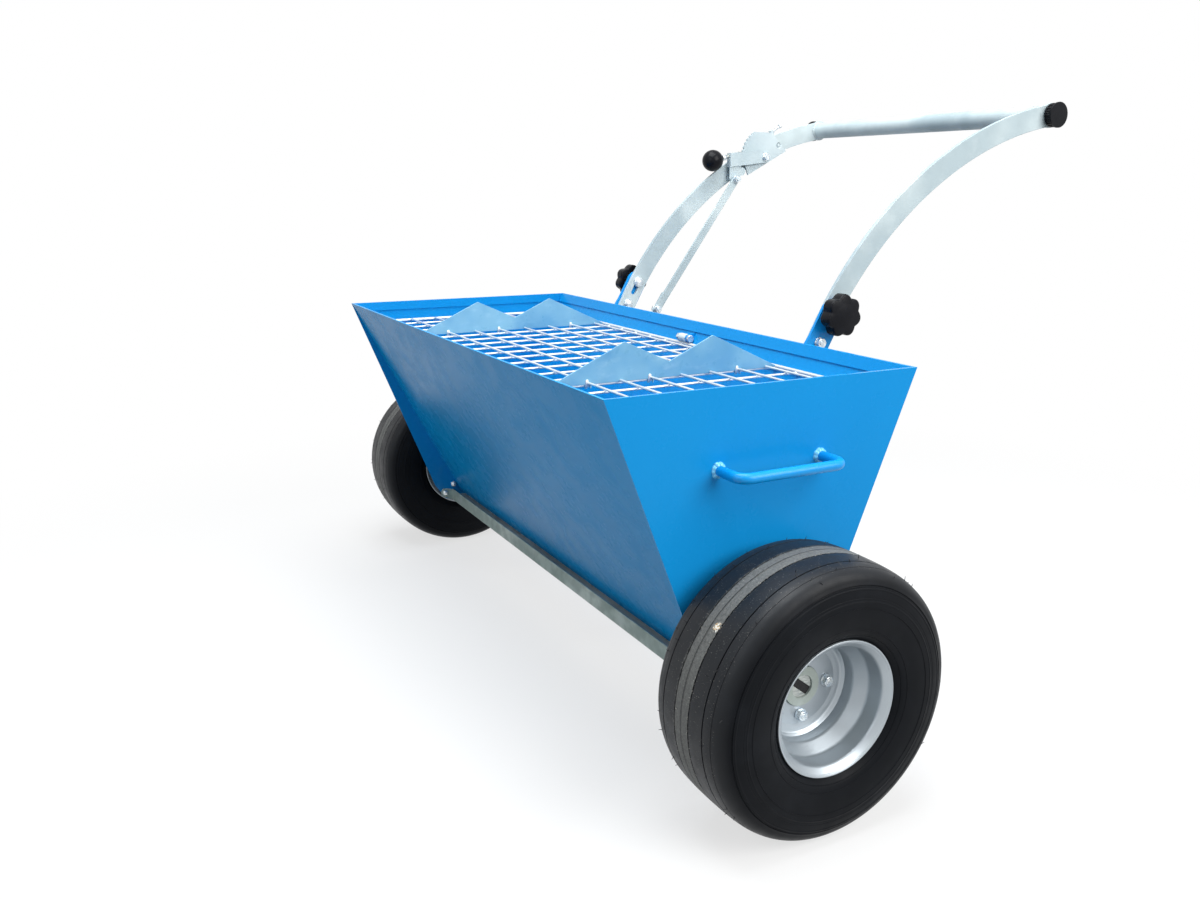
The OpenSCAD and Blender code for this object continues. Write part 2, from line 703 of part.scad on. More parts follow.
module link_rod() {
  j = [joint_y, joint_z];
  p = [crank_y, crank_z];
  d = (j - p) / norm(j - p);
  n = [-d[1], d[0]];
  color("Gainsboro") along_x(link_x - bar_t, link_x) difference() {
    flat_link(p, j + 44 * d, link_w - 4);
    translate(p) circle(r = 5.1);
    translate(j) circle(r = 5.2);
    translate(j + (slot_travel + 1) * d) circle(r = 5.2);
    polygon([j + 5.2 * n, j + 5.2 * n + (slot_travel + 1) * d, j - 5.2 * n + (slot_travel + 1) * d, j - 5.2 * n]);
  }
  color("Silver") {
    bar_x(crank_y, crank_z, link_x - 13, crank_x + crank_t + 14, 5.1);
    hex_x(crank_y, crank_z, link_x - bar_t - 6.4, link_x - bar_t, 16);
    bar_x(crank_y, crank_z, link_x, crank_x - 0.3, 19);
    bar_x(crank_y, crank_z, crank_x + crank_t + 0.3, crank_x + crank_t + 2.8, 19);
    hex_x(crank_y, crank_z, crank_x + crank_t + 2.8, crank_x + crank_t + 10.8, 16);
  }
}
module shutter_crank() {
  s = [hinge_y, hinge_z];
  p = [crank_y, crank_z];
  n = normal(s, p);
  color("LightGray") along_x(crank_x, crank_x + crank_t) difference() {
    union() {
      translate(s) circle(r = 14);
      translate(p) circle(r = 21);
      polygon([s - 12 * n, p - 12 * n, p + 12 * n, s + 12 * n]);
    }
    translate(s) circle(r = 6);
    translate(p) circle(r = 13.8);
  }
}
lug_xs = [-640, -230, 230, 640];
module shutter() {
  flap_x = inner_x - 5;
  color("LightGray") difference() {
    along_x(-flap_x, flap_x) polygon(ribbon([[-45.5, 154], [39, 154], [60.5, 198.8]], 3));
    bar_x(hinge_y, hinge_z, -flap_x - 1, flap_x + 1, 6);
    for (x = lug_xs) translate([x - 6, 35, 186]) cube([12, 40, 30]);
    translate([crank_x - 0.1, 28, 140]) cube([crank_t + 0.2, 60, 80]);
  }
}
module shutter_rod() {
  color("Silver") bar_x(hinge_y, hinge_z, -inner_x + 6, inner_x - 6, 6);
}
module shutter_lugs() {
  color("RoyalBlue") for (x = lug_xs) along_x(x - 2.5, x + 2.5) difference() {
    union() {
      translate([hinge_y, hinge_z]) circle(r = 11);
      polygon([[out_y(192), 192], [out_y(246), 246], [hinge_y + 7, hinge_z + 8.5], [hinge_y, hinge_z - 11]]);
    }
    translate([hinge_y, hinge_z]) circle(r = 6.1);
  }
}

// Wheels

module rim_section() {
  u = wheel_x;
  w = 3.1;
  b = bead_r;
  f = flange_r;
  half = [[-86.5, f], [-86.5, f - 2.5], [-84.3, b + 2.5], [-79.5, b - w], [-46, b - w], [-24, 84.6], [24, 84.6],
    [46, b - w], [79.5, b - w], [84.3, b + 2.5], [86.5, f - 2.5], [86.5, f], [82, f], [80.8, b + 3.5],
    [77, b], [44.5, b], [22.5, 87.7], [-22.5, 87.7], [-44.5, b], [-77, b], [-80.8, b + 3.5], [-82, f]];
  polygon([for (p = half) [p[1], u + p[0]]]);
  polygon([[shaft_r + 14.7, disc_x], [shaft_r + 14.7, disc_x + disc_t], [80, disc_x + disc_t],
    [85.5, disc_x + disc_t + 5], [85.5, disc_x]]);
}
module rim() {
  difference() {
    about_x(0, axle_z) rim_section();
    for (a = [0:90:270])
      bar_x(bolt_circle_r * cos(a), axle_z + bolt_circle_r * sin(a), disc_x - 1, disc_x + disc_t + 1, 5.2);
  }
}
module tyre_section() {
  u = wheel_x;
  hw = tyre_w / 2;
  b = bead_r + 0.05;
  f = flange_r;
  r = tyre_r;
  outer = [[77, b], [80.6, f - 8], [81.9, f], [82.1, f + 1.5], [88, f + 6], [hw - 5.5, f + 18],
    [hw - 1.2, f + 38], [hw, f + 56], [hw - 1, f + 74], [hw - 4.5, f + 89], [hw - 9, r - 21], [hw - 17, r - 11],
    [hw - 28, r - 5.2], [hw - 44, r - 2], [hw - 66, r - 0.6]];
  inner = [[hw - 64, r - 10], [hw - 30, r - 14], [hw - 17, r - 24], [hw - 9.5, f + 74], [hw - 9, f + 50],
    [hw - 14, f + 26], [78, f + 10], [66, b + 1], [66, b]];
  left_half = [for (i = [len(inner) - 1:-1:0]) [inner[i][1], u - inner[i][0]]];
  polygon(concat([for (p = outer) [p[1], u + p[0]]], [for (i = [len(outer) - 1:-1:0]) [outer[i][1], u - outer[i][0]]],
    left_half, [for (p = inner) [p[1], u + p[0]]]));
}
groove_u = [-54, -19, 19, 54];
module tyre() {
  about_x(0, axle_z) difference() {
    tyre_section();
    for (g = groove_u) translate([tyre_r - 3.2, wheel_x + g - 1.4]) square([6, 2.8]);
  }
}
module hub(bore) {
  difference() {
    about_x(0, axle_z) polygon([[bore, hub_in], [shaft_r + 11, hub_in], [shaft_r + 11, disc_x - 10],
      [bolt_circle_r + 13, disc_x - 10], [bolt_circle_r + 13, disc_x], [shaft_r + 14.5, disc_x],
      [shaft_r + 14.5, hub_face - 1], [shaft_r + 13.5, hub_face], [bore, hub_face]]);
    for (a = [0:90:270])
      bar_x(bolt_circle_r * cos(a), axle_z + bolt_circle_r * sin(a), disc_x - 13, disc_x + 1, 5.2);
  }
}
module wheel_bolts() {
  for (a = [0:90:270]) {
    y = bolt_circle_r * cos(a);
    z = axle_z + bolt_circle_r * sin(a);
    bar_x(y, z, disc_x - 22, disc_x + disc_t + 4, 5);
    bar_x(y, z, disc_x + disc_t, disc_x + disc_t + 2.5, 10.5);
    hex_x(y, z, disc_x + disc_t + 2.5, disc_x + disc_t + 12.4, 17);
    bar_x(y, z, disc_x + disc_t + 11.5, disc_x + disc_t + 13, 8);
    hex_x(y, z, disc_x - 18, disc_x - 10, 17);
  }
}
module right_tyre() {
  color("DimGray") side(1) tyre();
}
module left_tyre() {
  color("DimGray") side(-1) tyre();
}
module right_rim() {
  color("Silver") side(1) rim();
}
module left_rim() {
  color("Silver") side(-1) rim();
}
module right_hub() {
  color("Silver") side(1) hub(shaft_r);
}
module left_hub() {
  color("Silver") side(-1) hub(shaft_r + 0.06);
}
module right_wheel_bolts() {
  color("Silver") side(1) wheel_bolts();
}
module left_wheel_bolts() {
  color("Silver") side(-1) wheel_bolts();
}
module axle_shaft() {
  color("Silver") difference() {
    union() {
      bar_x(0, axle_z, -wheel_x - 20, shaft_end, shaft_r);
      for (s = [-1, 1]) side(s) bar_x(0, axle_z, half_len + boss_x + 0.4, hub_in - 0.3, shaft_r + 5);
    }
    translate([shaft_end - key_d, 0, axle_z]) rotate([key_a, 0, 0]) translate([0, -shaft_r - 2, -key_w / 2 - 0.1])
      cube([key_d + 1, 2 * shaft_r + 4, key_w + 0.2]);
  }
}
module drive_key() {
  color("DimGray") translate([shaft_end - key_d, 0, axle_z]) rotate([key_a, 0, 0])
    translate([0, -key_l / 2, -key_w / 2]) cube([key_d - 0.8, key_l, key_w]);
}
module left_collar() {
  color("Silver") difference() {
    bar_x(0, axle_z, -wheel_x - 17, -hub_face - 0.4, shaft_r + 10);
    bar_x(0, axle_z, -wheel_x - 18, -hub_face + 1, shaft_r);
  }
}
module feed_roller() {
  ribs = 10;
  color("DimGray") along_x(-inner_x + 12, inner_x - 12) translate([0, axle_z]) difference() {
    union() {
      circle(r = roller_r);
      for (i = [0:ribs - 1]) rotate(i * 360 / ribs) translate([0, -2.5]) square([roller_r + rib_h, 5]);
    }
    circle(r = shaft_r);
  }
}
module housing() {
  difference() {
    about_x(0, axle_z) polygon([[bearing_r, half_len], [house_r, half_len], [house_r, half_len + house_t - 1.5],
      [house_r - 1.5, half_len + house_t], [boss_r + 1.5, half_len + house_t],
      [boss_r, half_len + house_t + 1.5], [boss_r, half_len + boss_x - 2], [boss_r - 2, half_len + boss_x],
      [shaft_r + 3, half_len + boss_x], [shaft_r + 3, half_len + boss_x - 4], [bearing_r, half_len + boss_x - 4]]);
    for (a = [0:90:270])
      bar_x(house_bolt_r * cos(a), axle_z + house_bolt_r * sin(a), half_len - 1, half_len + house_t + 1, 4.2);
  }
}
module right_housing() {
  color("DimGray") side(1) housing();
}
module left_housing() {
  color("DimGray") side(-1) housing();
}
module bearings() {
  color("Silver") for (s = [-1, 1]) side(s) about_x(0, axle_z) polygon([[shaft_r + 0.05, half_len + 4],
    [bearing_r - 0.02, half_len + 4], [bearing_r - 0.02, half_len + boss_x - 4.1],
    [shaft_r + 0.05, half_len + boss_x - 4.1]]);
}
module housing_bolts() {
  color("Silver") for (s = [-1, 1], a = [0:90:270]) side(s)
    bolt_x(house_bolt_r * cos(a), axle_z + house_bolt_r * sin(a), inner_x, half_len + house_t, 8, 13, 8, 1.2);
}

// Stand

module stand_legs() {
  path = [[out_y(stand_z1), stand_z1], [out_y(stand_z0), stand_z0], [foot_y - 4, 4], [foot_y + 20, 4]];
  color("RoyalBlue") for (s = [-1, 1]) difference() {
    along_x(s * leg_x - 20, s * leg_x + 20) polygon(ribbon(path, 5));
    for (z = [stand_z0 + 12, stand_z1 - 12]) sheet_bar(s * leg_x, z, -2, 12, 4.2);
    translate([s * leg_x, foot_y + 10, 0]) cylinder(h = 20, r = 4.2);
  }
}
module stand_foot() {
  color("RoyalBlue") difference() {
    along_x(-leg_x - 50, leg_x + 50) polygon([[foot_y - 18, 0], [foot_y + 22, 0], [foot_y + 22, 4],
      [foot_y - 14, 4], [foot_y - 14, 8], [foot_y - 18, 8]]);
    for (s = [-1, 1]) translate([s * leg_x, foot_y + 10, -1]) {
      cylinder(h = 8, r = 4.2);
      cylinder(h = 3.6, r = 8.4);
    }
  }
}
module stand_bolts() {
  color("Silver") {
    for (s = [-1, 1], z = [stand_z0 + 12, stand_z1 - 12]) {
      sheet_bar(s * leg_x, z, -sheet_t - 4, 14, 4);
      sheet_bar(s * leg_x, z, -sheet_t - 5, -sheet_t, 7.5, 6);
      sheet_bar(s * leg_x, z, 5, 11.5, 7.5, 6);
    }
    for (s = [-1, 1]) translate([s * leg_x, foot_y + 10, 0]) {
      translate([0, 0, 1]) cylinder(h = 17, r = 4);
      translate([0, 0, 1]) cylinder(h = 1.6, r = 8);
      translate([0, 0, 9]) cylinder(h = 6.5, r = 7.5, $fn = 6);
    }
  }
}

placed() {
  front_sheet();
  rear_sheet();
  left_end_plate();
  right_end_plate();
  front_strip();
  strip_bolts();
  left_lift_handle();
  right_lift_handle();
  grate_mesh();
  grate_border();
  left_bag_cutter();
  right_bag_cutter();
  grate_lug();
  grate_bush();
  grate_bolt();
  left_arm_bracket();
  right_arm_bracket();
  knob_bolts();
  arm_bolts();
  left_star_knob();
  right_star_knob();
  left_arm();
  right_arm();
  cross_tube();
  tube_plugs();
  quadrant();
  quadrant_screw();
  quadrant_bolt();
  lever_bolt();
  lever_bracket();
  latch_pin();
  latch_nut();
  ball_knob();
  latch_spring();
  link_bar();
  link_bolts();
  link_rod();
  right_tyre();
  right_rim();
  right_hub();
  right_wheel_bolts();
  axle_shaft();
  drive_key();
  left_tyre();
  left_rim();
  left_hub();
  left_wheel_bolts();
  left_collar();
  feed_roller();
  left_housing();
  right_housing();
  bearings();
  housing_bolts();
  shutter();
  shutter_rod();
  shutter_crank();
  shutter_lugs();
  stand_legs();
  stand_foot();
  stand_bolts();
}
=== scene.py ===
import json
import math
import random

import bmesh
import bpy
from mathutils import Matrix, Vector

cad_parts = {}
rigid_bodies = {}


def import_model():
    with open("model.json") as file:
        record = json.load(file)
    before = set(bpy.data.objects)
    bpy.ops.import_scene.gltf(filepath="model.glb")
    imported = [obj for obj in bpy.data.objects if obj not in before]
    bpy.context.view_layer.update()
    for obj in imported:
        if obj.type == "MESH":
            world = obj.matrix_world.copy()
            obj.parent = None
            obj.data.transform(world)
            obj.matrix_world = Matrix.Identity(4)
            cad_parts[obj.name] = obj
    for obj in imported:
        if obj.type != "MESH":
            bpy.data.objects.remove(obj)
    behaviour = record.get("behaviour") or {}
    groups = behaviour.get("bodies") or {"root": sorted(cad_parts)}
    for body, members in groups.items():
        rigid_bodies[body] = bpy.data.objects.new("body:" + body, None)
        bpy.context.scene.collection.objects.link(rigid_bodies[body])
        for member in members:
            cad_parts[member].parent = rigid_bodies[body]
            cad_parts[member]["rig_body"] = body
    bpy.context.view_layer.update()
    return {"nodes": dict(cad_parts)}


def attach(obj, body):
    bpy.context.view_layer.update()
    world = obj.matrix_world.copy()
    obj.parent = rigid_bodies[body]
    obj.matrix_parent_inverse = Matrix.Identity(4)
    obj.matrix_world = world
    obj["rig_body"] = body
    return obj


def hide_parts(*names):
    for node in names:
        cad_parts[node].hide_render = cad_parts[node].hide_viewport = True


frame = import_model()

# Sizes in millimetres, about the wheel axis, as in the part's source
MM = 0.001
MID_Y = 340.626
AXLE_Z = 234.0
WHEEL_X = 814.0
TYRE_R = 234.0
TYRE_HALF_W = 100.0
FLANGE_R = 115.0
BEAD_R = 103.6
HALF_LEN = 702.0
INNER_X = 699.0
SHEET_T = 2.5
RIM_Z = 719.0
HALF_W = 311.0
THROAT_Z = 166.0
HALF_THROAT = 23.8
SLOPE = (HALF_W - HALF_THROAT) / (RIM_Z - THROAT_Z)
LEAN = math.sqrt(1 + SLOPE * SLOPE)
SHEET_FLAT = SHEET_T * LEAN
ARC_Y = HALF_W + 66.977 - 840 * math.cos(math.radians(149.4))
ARC_Z = RIM_Z + 55.595 - 840 * math.sin(math.radians(149.4))
ARC_R = 840.0
ARM_IN, ARM_OUT, BRACKET_OUT = 382.0, 390.0, 396.0
TUBE_A = 99.3
TUBE_Y = ARC_Y + ARC_R * math.cos(math.radians(TUBE_A))
TUBE_Z = ARC_Z + ARC_R * math.sin(math.radians(TUBE_A))
TUBE_R = 21.2
BOLT_Y, BOLT_Z = HALF_W + 66.977, RIM_Z + 55.595
LOW_Y = ARC_Y + ARC_R * math.cos(math.radians(153.8))
LOW_Z = ARC_Z + ARC_R * math.sin(math.radians(153.8))
PIVOT_Y, PIVOT_Z = 766.0, 1101.0
LATCH_A = math.radians(13.1)
FAR_X, NEAR_X, CHEEK_T = -380.5, -365.5, 3.0
TAB_X = NEAR_X - CHEEK_T
QUAD_X, QUAD_T = -376.0, 5.0
LINK_X, BAR_T = -359.0, 5.0
GRATE_Z = RIM_Z - 50.2
WIRE_R, WIRE_DROP, ROD_R = 2.5, 2.52, 4.0
PITCH_X, PITCH_Y = 70.0, 67.0
ROD_X = INNER_X - 12
ROD_Y = (HALF_THROAT + SLOPE * (GRATE_Z - THROAT_Z) - SHEET_FLAT) - 4.33 * LEAN
TILT_Y, TILT_Z, LUG_X, LUG_T, BUSH_X = HALF_W - 33, RIM_Z - 36.5, 21.0, 5.0, -8.0
LIFT_X, LIFT_Z, LIFT_R, LIFT_HALF, LIFT_BEND = HALF_LEN + 62, RIM_Z - 134, 9.0, 103.0, 21.0
DISC_X, DISC_T = WHEEL_X - 8, 5.0
BOLT_CIRCLE = 50.0
TAU = 2 * math.pi
NODES = frame["nodes"]


def place(x, y, z):
    """A point in millimetres about the axle, as metres in the row frame."""
    return Vector((x * MM, (y - MID_Y) * MM, z * MM))


def srgb(r, g, b):
    """A colour written as 0 to 255 on a screen, as linear light."""
    out = []
    for c in (r, g, b):
        c = c / 255
        out.append(c / 12.92 if c <= 0.04045 else ((c + 0.055) / 1.055) ** 2.4)
    return (*out, 1.0)


# Materials

class Finish:
    """One procedural material. Positions are the row frame's metres, so a pattern keeps its real size."""

    def __init__(self, name, **sockets):
        self.mat = bpy.data.materials.new(name)
        self.mat.use_nodes = True
        self.tree = self.mat.node_tree
        self.tree.nodes.clear()
        self.out = self.tree.nodes.new("ShaderNodeOutputMaterial")
        self.bsdf = self.tree.nodes.new("ShaderNodeBsdfPrincipled")
        self.join(self.bsdf.outputs[0], self.out.inputs["Surface"])
        self.where = self.tree.nodes.new("ShaderNodeTexCoord").outputs["Object"]
        for name, value in sockets.items():
            self.bsdf.inputs[name.replace("_", " ")].default_value = value

    def join(self, a, b):
        self.tree.links.new(a, b)

    def put(self, socket, value):
        """Sets a socket from a number, a colour or another node's output."""
        if isinstance(value, bpy.types.NodeSocket):
            self.join(value, socket)
        else:
            socket.default_value = value

    def stretch(self, x, y, z):
        node = self.tree.nodes.new("ShaderNodeMapping")
        self.join(self.where, node.inputs["Vector"])
        node.inputs["Scale"].default_value = (x, y, z)
        return node.outputs[0]

    def noise(self, scale, detail=4.0, rough=0.55, at=None, twist=0.0):
        node = self.tree.nodes.new("ShaderNodeTexNoise")
        self.join(at or self.where, node.inputs["Vector"])
        node.inputs["Scale"].default_value = scale
        node.inputs["Detail"].default_value = detail
        node.inputs["Roughness"].default_value = rough
        node.inputs["Distortion"].default_value = twist
        return node.outputs["Fac"]

    def cells(self, scale, at=None, feature="F1", colour=False):
        node = self.tree.nodes.new("ShaderNodeTexVoronoi")
        node.feature = feature
        self.join(at or self.where, node.inputs["Vector"])
        node.inputs["Scale"].default_value = scale
        return node.outputs["Color" if colour else "Distance"]

    def axis(self, name):
        node = self.tree.nodes.new("ShaderNodeSeparateXYZ")
        self.join(self.where, node.inputs[0])
        return node.outputs[name]

    def far(self, point):
        """Distance from a point of the row frame."""
        node = self.tree.nodes.new("ShaderNodeVectorMath")
        node.operation = "DISTANCE"
        self.join(self.where, node.inputs[0])
        node.inputs[1].default_value = point
        return node.outputs["Value"]

    def sum(self, op, a, b=0.0, c=0.0, clamp=False):
        node = self.tree.nodes.new("ShaderNodeMath")
        node.operation = op
        node.use_clamp = clamp
        for socket, value in zip(node.inputs, (a, b, c)):
            self.put(socket, value)
        return node.outputs[0]

    def span(self, value, low, high, to_low=0.0, to_high=1.0, smooth=True):
        node = self.tree.nodes.new("ShaderNodeMapRange")
        node.interpolation_type = "SMOOTHSTEP" if smooth else "LINEAR"
        for socket, v in zip(node.inputs, (value, low, high, to_low, to_high)):
            self.put(socket, v)
        return node.outputs[0]

    def blend(self, amount, a, b, mode="MIX"):
        node = self.tree.nodes.new("ShaderNodeMix")
        node.data_type = "RGBA"
        node.blend_type = mode
        self.put(node.inputs["Factor"], amount)
        self.put(node.inputs[6], a)
        self.put(node.inputs[7], b)
        return node.outputs[2]

    def bump(self, height, strength, distance, after=None):
        node = self.tree.nodes.new("ShaderNodeBump")
        node.inputs["Strength"].default_value = strength
        node.inputs["Distance"].default_value = distance
        self.join(height, node.inputs["Height"])
        if after is not None:
            self.join(after, node.inputs["Normal"])
        return node.outputs[0]

    def colour(self, value):
        self.put(self.bsdf.inputs["Base Color"], value)

    def rough(self, value):
        self.put(self.bsdf.inputs["Roughness"], value)

    def normal(self, value):
        self.put(self.bsdf.inputs["Normal"], value)


def blue_coat(name="blue_coat", level=0.10, low=(14, 133, 203), high=(20, 145, 213)):
    """Smooth powder coat on sheet steel: faint orange peel, a slow wave of the sheet, a little dust low down."""
    f = Finish(name, Specular_IOR_Level=level)
    base = f.blend(f.noise(2.2, 2.0), srgb(*low), srgb(*high))
    dust = f.sum("MULTIPLY", f.span(f.axis("Z"), 0.34, 0.14), f.span(f.noise(16.0, 6.0, 0.65), 0.46, 0.78))
    f.colour(f.blend(f.sum("MULTIPLY", dust, 0.22), base, srgb(110, 140, 156)))
    f.rough(f.span(f.noise(18.0, 4.0, 0.6), 0.3, 0.75, 0.22, 0.33))
    waves = f.bump(f.noise(1.8, 1.0, 0.3), 0.22, 0.005)
    f.normal(f.bump(f.noise(520.0, 2.0, 0.5), 0.05, 0.0003, waves))
    return f.mat


def pale_blue_coat():
    """The thin, greyer coat of the bag cutters, with scuffs from sacks."""
    f = Finish("pale_blue_coat", Specular_IOR_Level=0.4)
    base = f.blend(f.span(f.noise(7.0, 3.0), 0.35, 0.65), srgb(98, 158, 194), srgb(130, 182, 206))
    scuff = f.span(f.noise(1.0, 6.0, 0.6, at=f.stretch(26.0, 20.0, 50.0)), 0.52, 0.80, 0.0, 0.40)
    base = f.blend(scuff, base, srgb(168, 208, 224))
    worn = f.span(f.noise(30.0, 6.0, 0.6), 0.60, 0.80, 0.0, 0.30)
    f.colour(f.blend(worn, base, srgb(84, 144, 184)))
    f.rough(f.span(f.noise(60.0, 5.0), 0.3, 0.7, 0.26, 0.46))
    f.normal(f.bump(f.noise(500.0, 3.0), 0.10, 0.0004))
    return f.mat


def galvanised(name="galvanised", dark=(166, 182, 188), pale=(198, 211, 214), grey=(146, 160, 166), mottle=0.12):
    """Dipped zinc: large soft patches, faint crystals and whitish bloom."""
    f = Finish(name, Specular_IOR_Level=0.4)
    base = f.blend(f.span(f.noise(5.0, 2.0, 0.5), 0.38, 0.62), srgb(*dark), srgb(*pale))
    crystal = f.sum("MULTIPLY", f.span(f.noise(34.0, 2.0, 0.5), 0.35, 0.65), mottle)
    base = f.blend(crystal, base, srgb(*grey))
    bloom = f.span(f.noise(18.0, 4.0, 0.5), 0.50, 0.76, 0.0, 0.35)
    base = f.blend(bloom, base, srgb(208, 218, 220))
    stain = f.span(f.noise(13.0, 5.0, 0.6), 0.60, 0.84, 0.0, mottle * 1.7)
    f.colour(f.blend(stain, base, srgb(*grey)))
    f.rough(f.sum("ADD", f.sum("MULTIPLY", crystal, 0.3), f.span(f.noise(30.0, 3.0), 0.3, 0.75, 0.48, 0.60)))
    f.normal(f.bump(f.noise(50.0, 2.0, 0.4), 0.05, 0.0005))
    return f.mat


def bright_wire():
    """New zinc on drawn wire, nearly white."""
    f = Finish("bright_wire", Metallic=0.4, Specular_IOR_Level=0.5)
    base = f.blend(f.noise(60.0, 4.0), srgb(206, 211, 214), srgb(236, 238, 238))
    f.colour(f.blend(f.span(f.noise(240.0, 4.0), 0.6, 0.76, 0.0, 0.5), base, srgb(150, 160, 168)))
    f.rough(f.span(f.noise(150.0, 4.0), 0.3, 0.7, 0.28, 0.42))
    f.normal(f.bump(f.noise(500.0, 4.0), 0.15, 0.0003))
    return f.mat


def zinc_bolts():
    """Bright zinc plate with a bluish tint and matt patches."""
    f = Finish("zinc_bolts", Metallic=0.75)
    base = f.blend(f.span(f.noise(120.0, 4.0), 0.35, 0.65), srgb(186, 200, 212), srgb(228, 232, 232))
    f.colour(f.blend(f.span(f.noise(420.0, 3.0), 0.6, 0.75, 0.0, 0.45), base, srgb(128, 138, 146)))
    f.rough(f.span(f.noise(200.0, 4.0), 0.3, 0.7, 0.22, 0.38))
    f.normal(f.bump(f.noise(900.0, 3.0), 0.1, 0.0002))
    return f.mat


def bright_steel():
    """Plain drawn or ground steel, faintly streaked, with a few brown freckles."""
    f = Finish("bright_steel", Metallic=0.85)
    streak = f.noise(1.0, 5.0, 0.6, at=f.stretch(500.0, 40.0, 500.0))
    base = f.blend(f.span(streak, 0.3, 0.7), srgb(150, 156, 154), srgb(196, 200, 196))
    f.colour(f.blend(f.span(f.noise(90.0, 6.0, 0.7), 0.64, 0.78, 0.0, 0.5), base, srgb(122, 96, 74)))
    f.rough(f.span(f.noise(150.0, 4.0), 0.3, 0.7, 0.24, 0.42))
    f.normal(f.bump(streak, 0.08, 0.0003))
    return f.mat


def silver_paint():
    """Silver-grey paint with fine flake on a pressed rim."""
    f = Finish("silver_paint", Metallic=0.72, Specular_IOR_Level=0.5)
    base = f.blend(f.noise(8.0, 3.0), srgb(156, 164, 170), srgb(176, 184, 190))
    flake = f.span(f.noise(2600.0, 1.0), 0.5, 0.8, 0.0, 0.35)
    base = f.blend(flake, base, srgb(196, 204, 212))
    dust = f.span(f.noise(26.0, 7.0, 0.7), 0.58, 0.88, 0.0, 0.35)
    f.colour(f.blend(dust, base, srgb(132, 132, 130)))
    f.rough(f.span(f.noise(40.0, 5.0), 0.3, 0.7, 0.34, 0.44))
    f.normal(f.bump(f.noise(1200.0, 2.0), 0.04, 0.0002))
    return f.mat


def tyre_rubber():
    """Black rubber with a dusty, granular rolled band on the crown, and a dark moulding seam in it. The crown is also
    lightened towards a bluish grey as a painted sheen.
    """
    f = Finish("tyre_rubber")
    u = f.sum("SUBTRACT", f.sum("ABSOLUTE", f.axis("X")), WHEEL_X * MM)
    up = f.sum("SUBTRACT", f.axis("Z"), AXLE_Z * MM)
    along = f.sum("ADD", f.axis("Y"), MID_Y * MM)
    radius = f.sum("SQRT", f.sum("ADD", f.sum("MULTIPLY", up, up), f.sum("MULTIPLY", along, along)))
    tread = f.span(radius, 0.2255, 0.2290)
    crown = f.span(radius, 0.212, 0.230)
    base = f.blend(f.noise(22.0, 5.0), srgb(13, 15, 18), srgb(21, 23, 27))
    haze = f.span(f.noise(9.0, 6.0, 0.62), 0.45, 0.8, 0.0, 0.40)
    base = f.blend(haze, base, srgb(33, 36, 41))
    # Painted sheen: the crown is lightened towards a bluish grey that stands in for a reflection of the sky.
    base = f.blend(f.sum("MULTIPLY", crown, 0.25), base, srgb(38, 42, 48))
    ragged = f.sum("MULTIPLY", f.sum("SUBTRACT", f.noise(55.0, 8.0, 0.8), 0.5), 0.020)
    chipped = f.sum("MULTIPLY", f.sum("SUBTRACT", f.noise(160.0, 5.0, 0.7), 0.5), 0.0035)
    inner = f.span(f.sum("ADD", u, ragged), -0.0270, -0.0140)
    outer = f.span(f.sum("ADD", u, chipped), 0.0172, 0.0186, 1.0, 0.0)
    band = f.sum("MULTIPLY", f.sum("MULTIPLY", inner, outer), tread)
    seam = f.sum("ABSOLUTE", f.sum("ADD", f.sum("ADD", u, 0.002), f.sum("MULTIPLY", ragged, 0.12)))
    band = f.sum("MULTIPLY", band, f.span(seam, 0.0002, 0.0012, 0.10, 1.0))
    grain = f.sum("ADD", f.noise(240.0, 8.0, 0.9), f.sum("MULTIPLY", band, 0.36))
    worn = f.sum("MULTIPLY", f.span(grain, 0.62, 0.98, smooth=False), tread)
    base = f.blend(worn, base, srgb(120, 121, 119))
    edge_of_band = f.sum("ABSOLUTE", f.sum("SUBTRACT", f.sum("ABSOLUTE", u), 0.0175))
    near_edge = f.sum("MULTIPLY", f.span(edge_of_band, 0.0080, 0.0005, 0.25, 1.0), tread)
    grit = f.sum("MULTIPLY", f.span(f.noise(480.0, 3.0), 0.665, 0.70), near_edge)
    base = f.blend(grit, base, srgb(205, 202, 192))
    broken = f.sum("MULTIPLY", f.sum("SUBTRACT", f.noise(260.0, 5.0, 0.8), 0.5), 0.030)
    fleck = f.span(f.sum("ADD", f.far(place(*FLECK)), broken), 0.0065, 0.0050)
    crumbs = f.blend(f.span(f.noise(330.0, 2.0), 0.42, 0.58), srgb(205, 172, 128), srgb(244, 242, 232))
    f.colour(f.blend(fleck, base, crumbs))
    f.put(f.bsdf.inputs["Specular IOR Level"], f.span(radius, 0.205, 0.230, 0.06, 0.22))
    f.rough(f.sum("ADD", f.span(f.noise(35.0, 5.0), 0.3, 0.75, 0.38, 0.52), f.sum("MULTIPLY", worn, 0.3), clamp=True))
    skin = f.bump(f.noise(420.0, 4.0, 0.6), 0.05, 0.0005)
    f.normal(f.bump(f.sum("MULTIPLY", f.noise(360.0, 6.0, 0.8), band), 0.5, 0.0012, skin))
    return f.mat


def black_plastic():
    """Moulded plastic with a soft gloss."""
    f = Finish("black_plastic", Specular_IOR_Level=0.12)
    base = f.blend(f.noise(30.0, 4.0), srgb(8, 9, 13), srgb(17, 19, 25))
    f.colour(f.blend(f.span(f.noise(150.0, 6.0, 0.7), 0.64, 0.82, 0.0, 0.15), base, srgb(60, 66, 78)))
    f.rough(f.span(f.noise(80.0, 4.0), 0.3, 0.7, 0.26, 0.36))
    f.normal(f.bump(f.noise(900.0, 2.0), 0.04, 0.0002))
    return f.mat


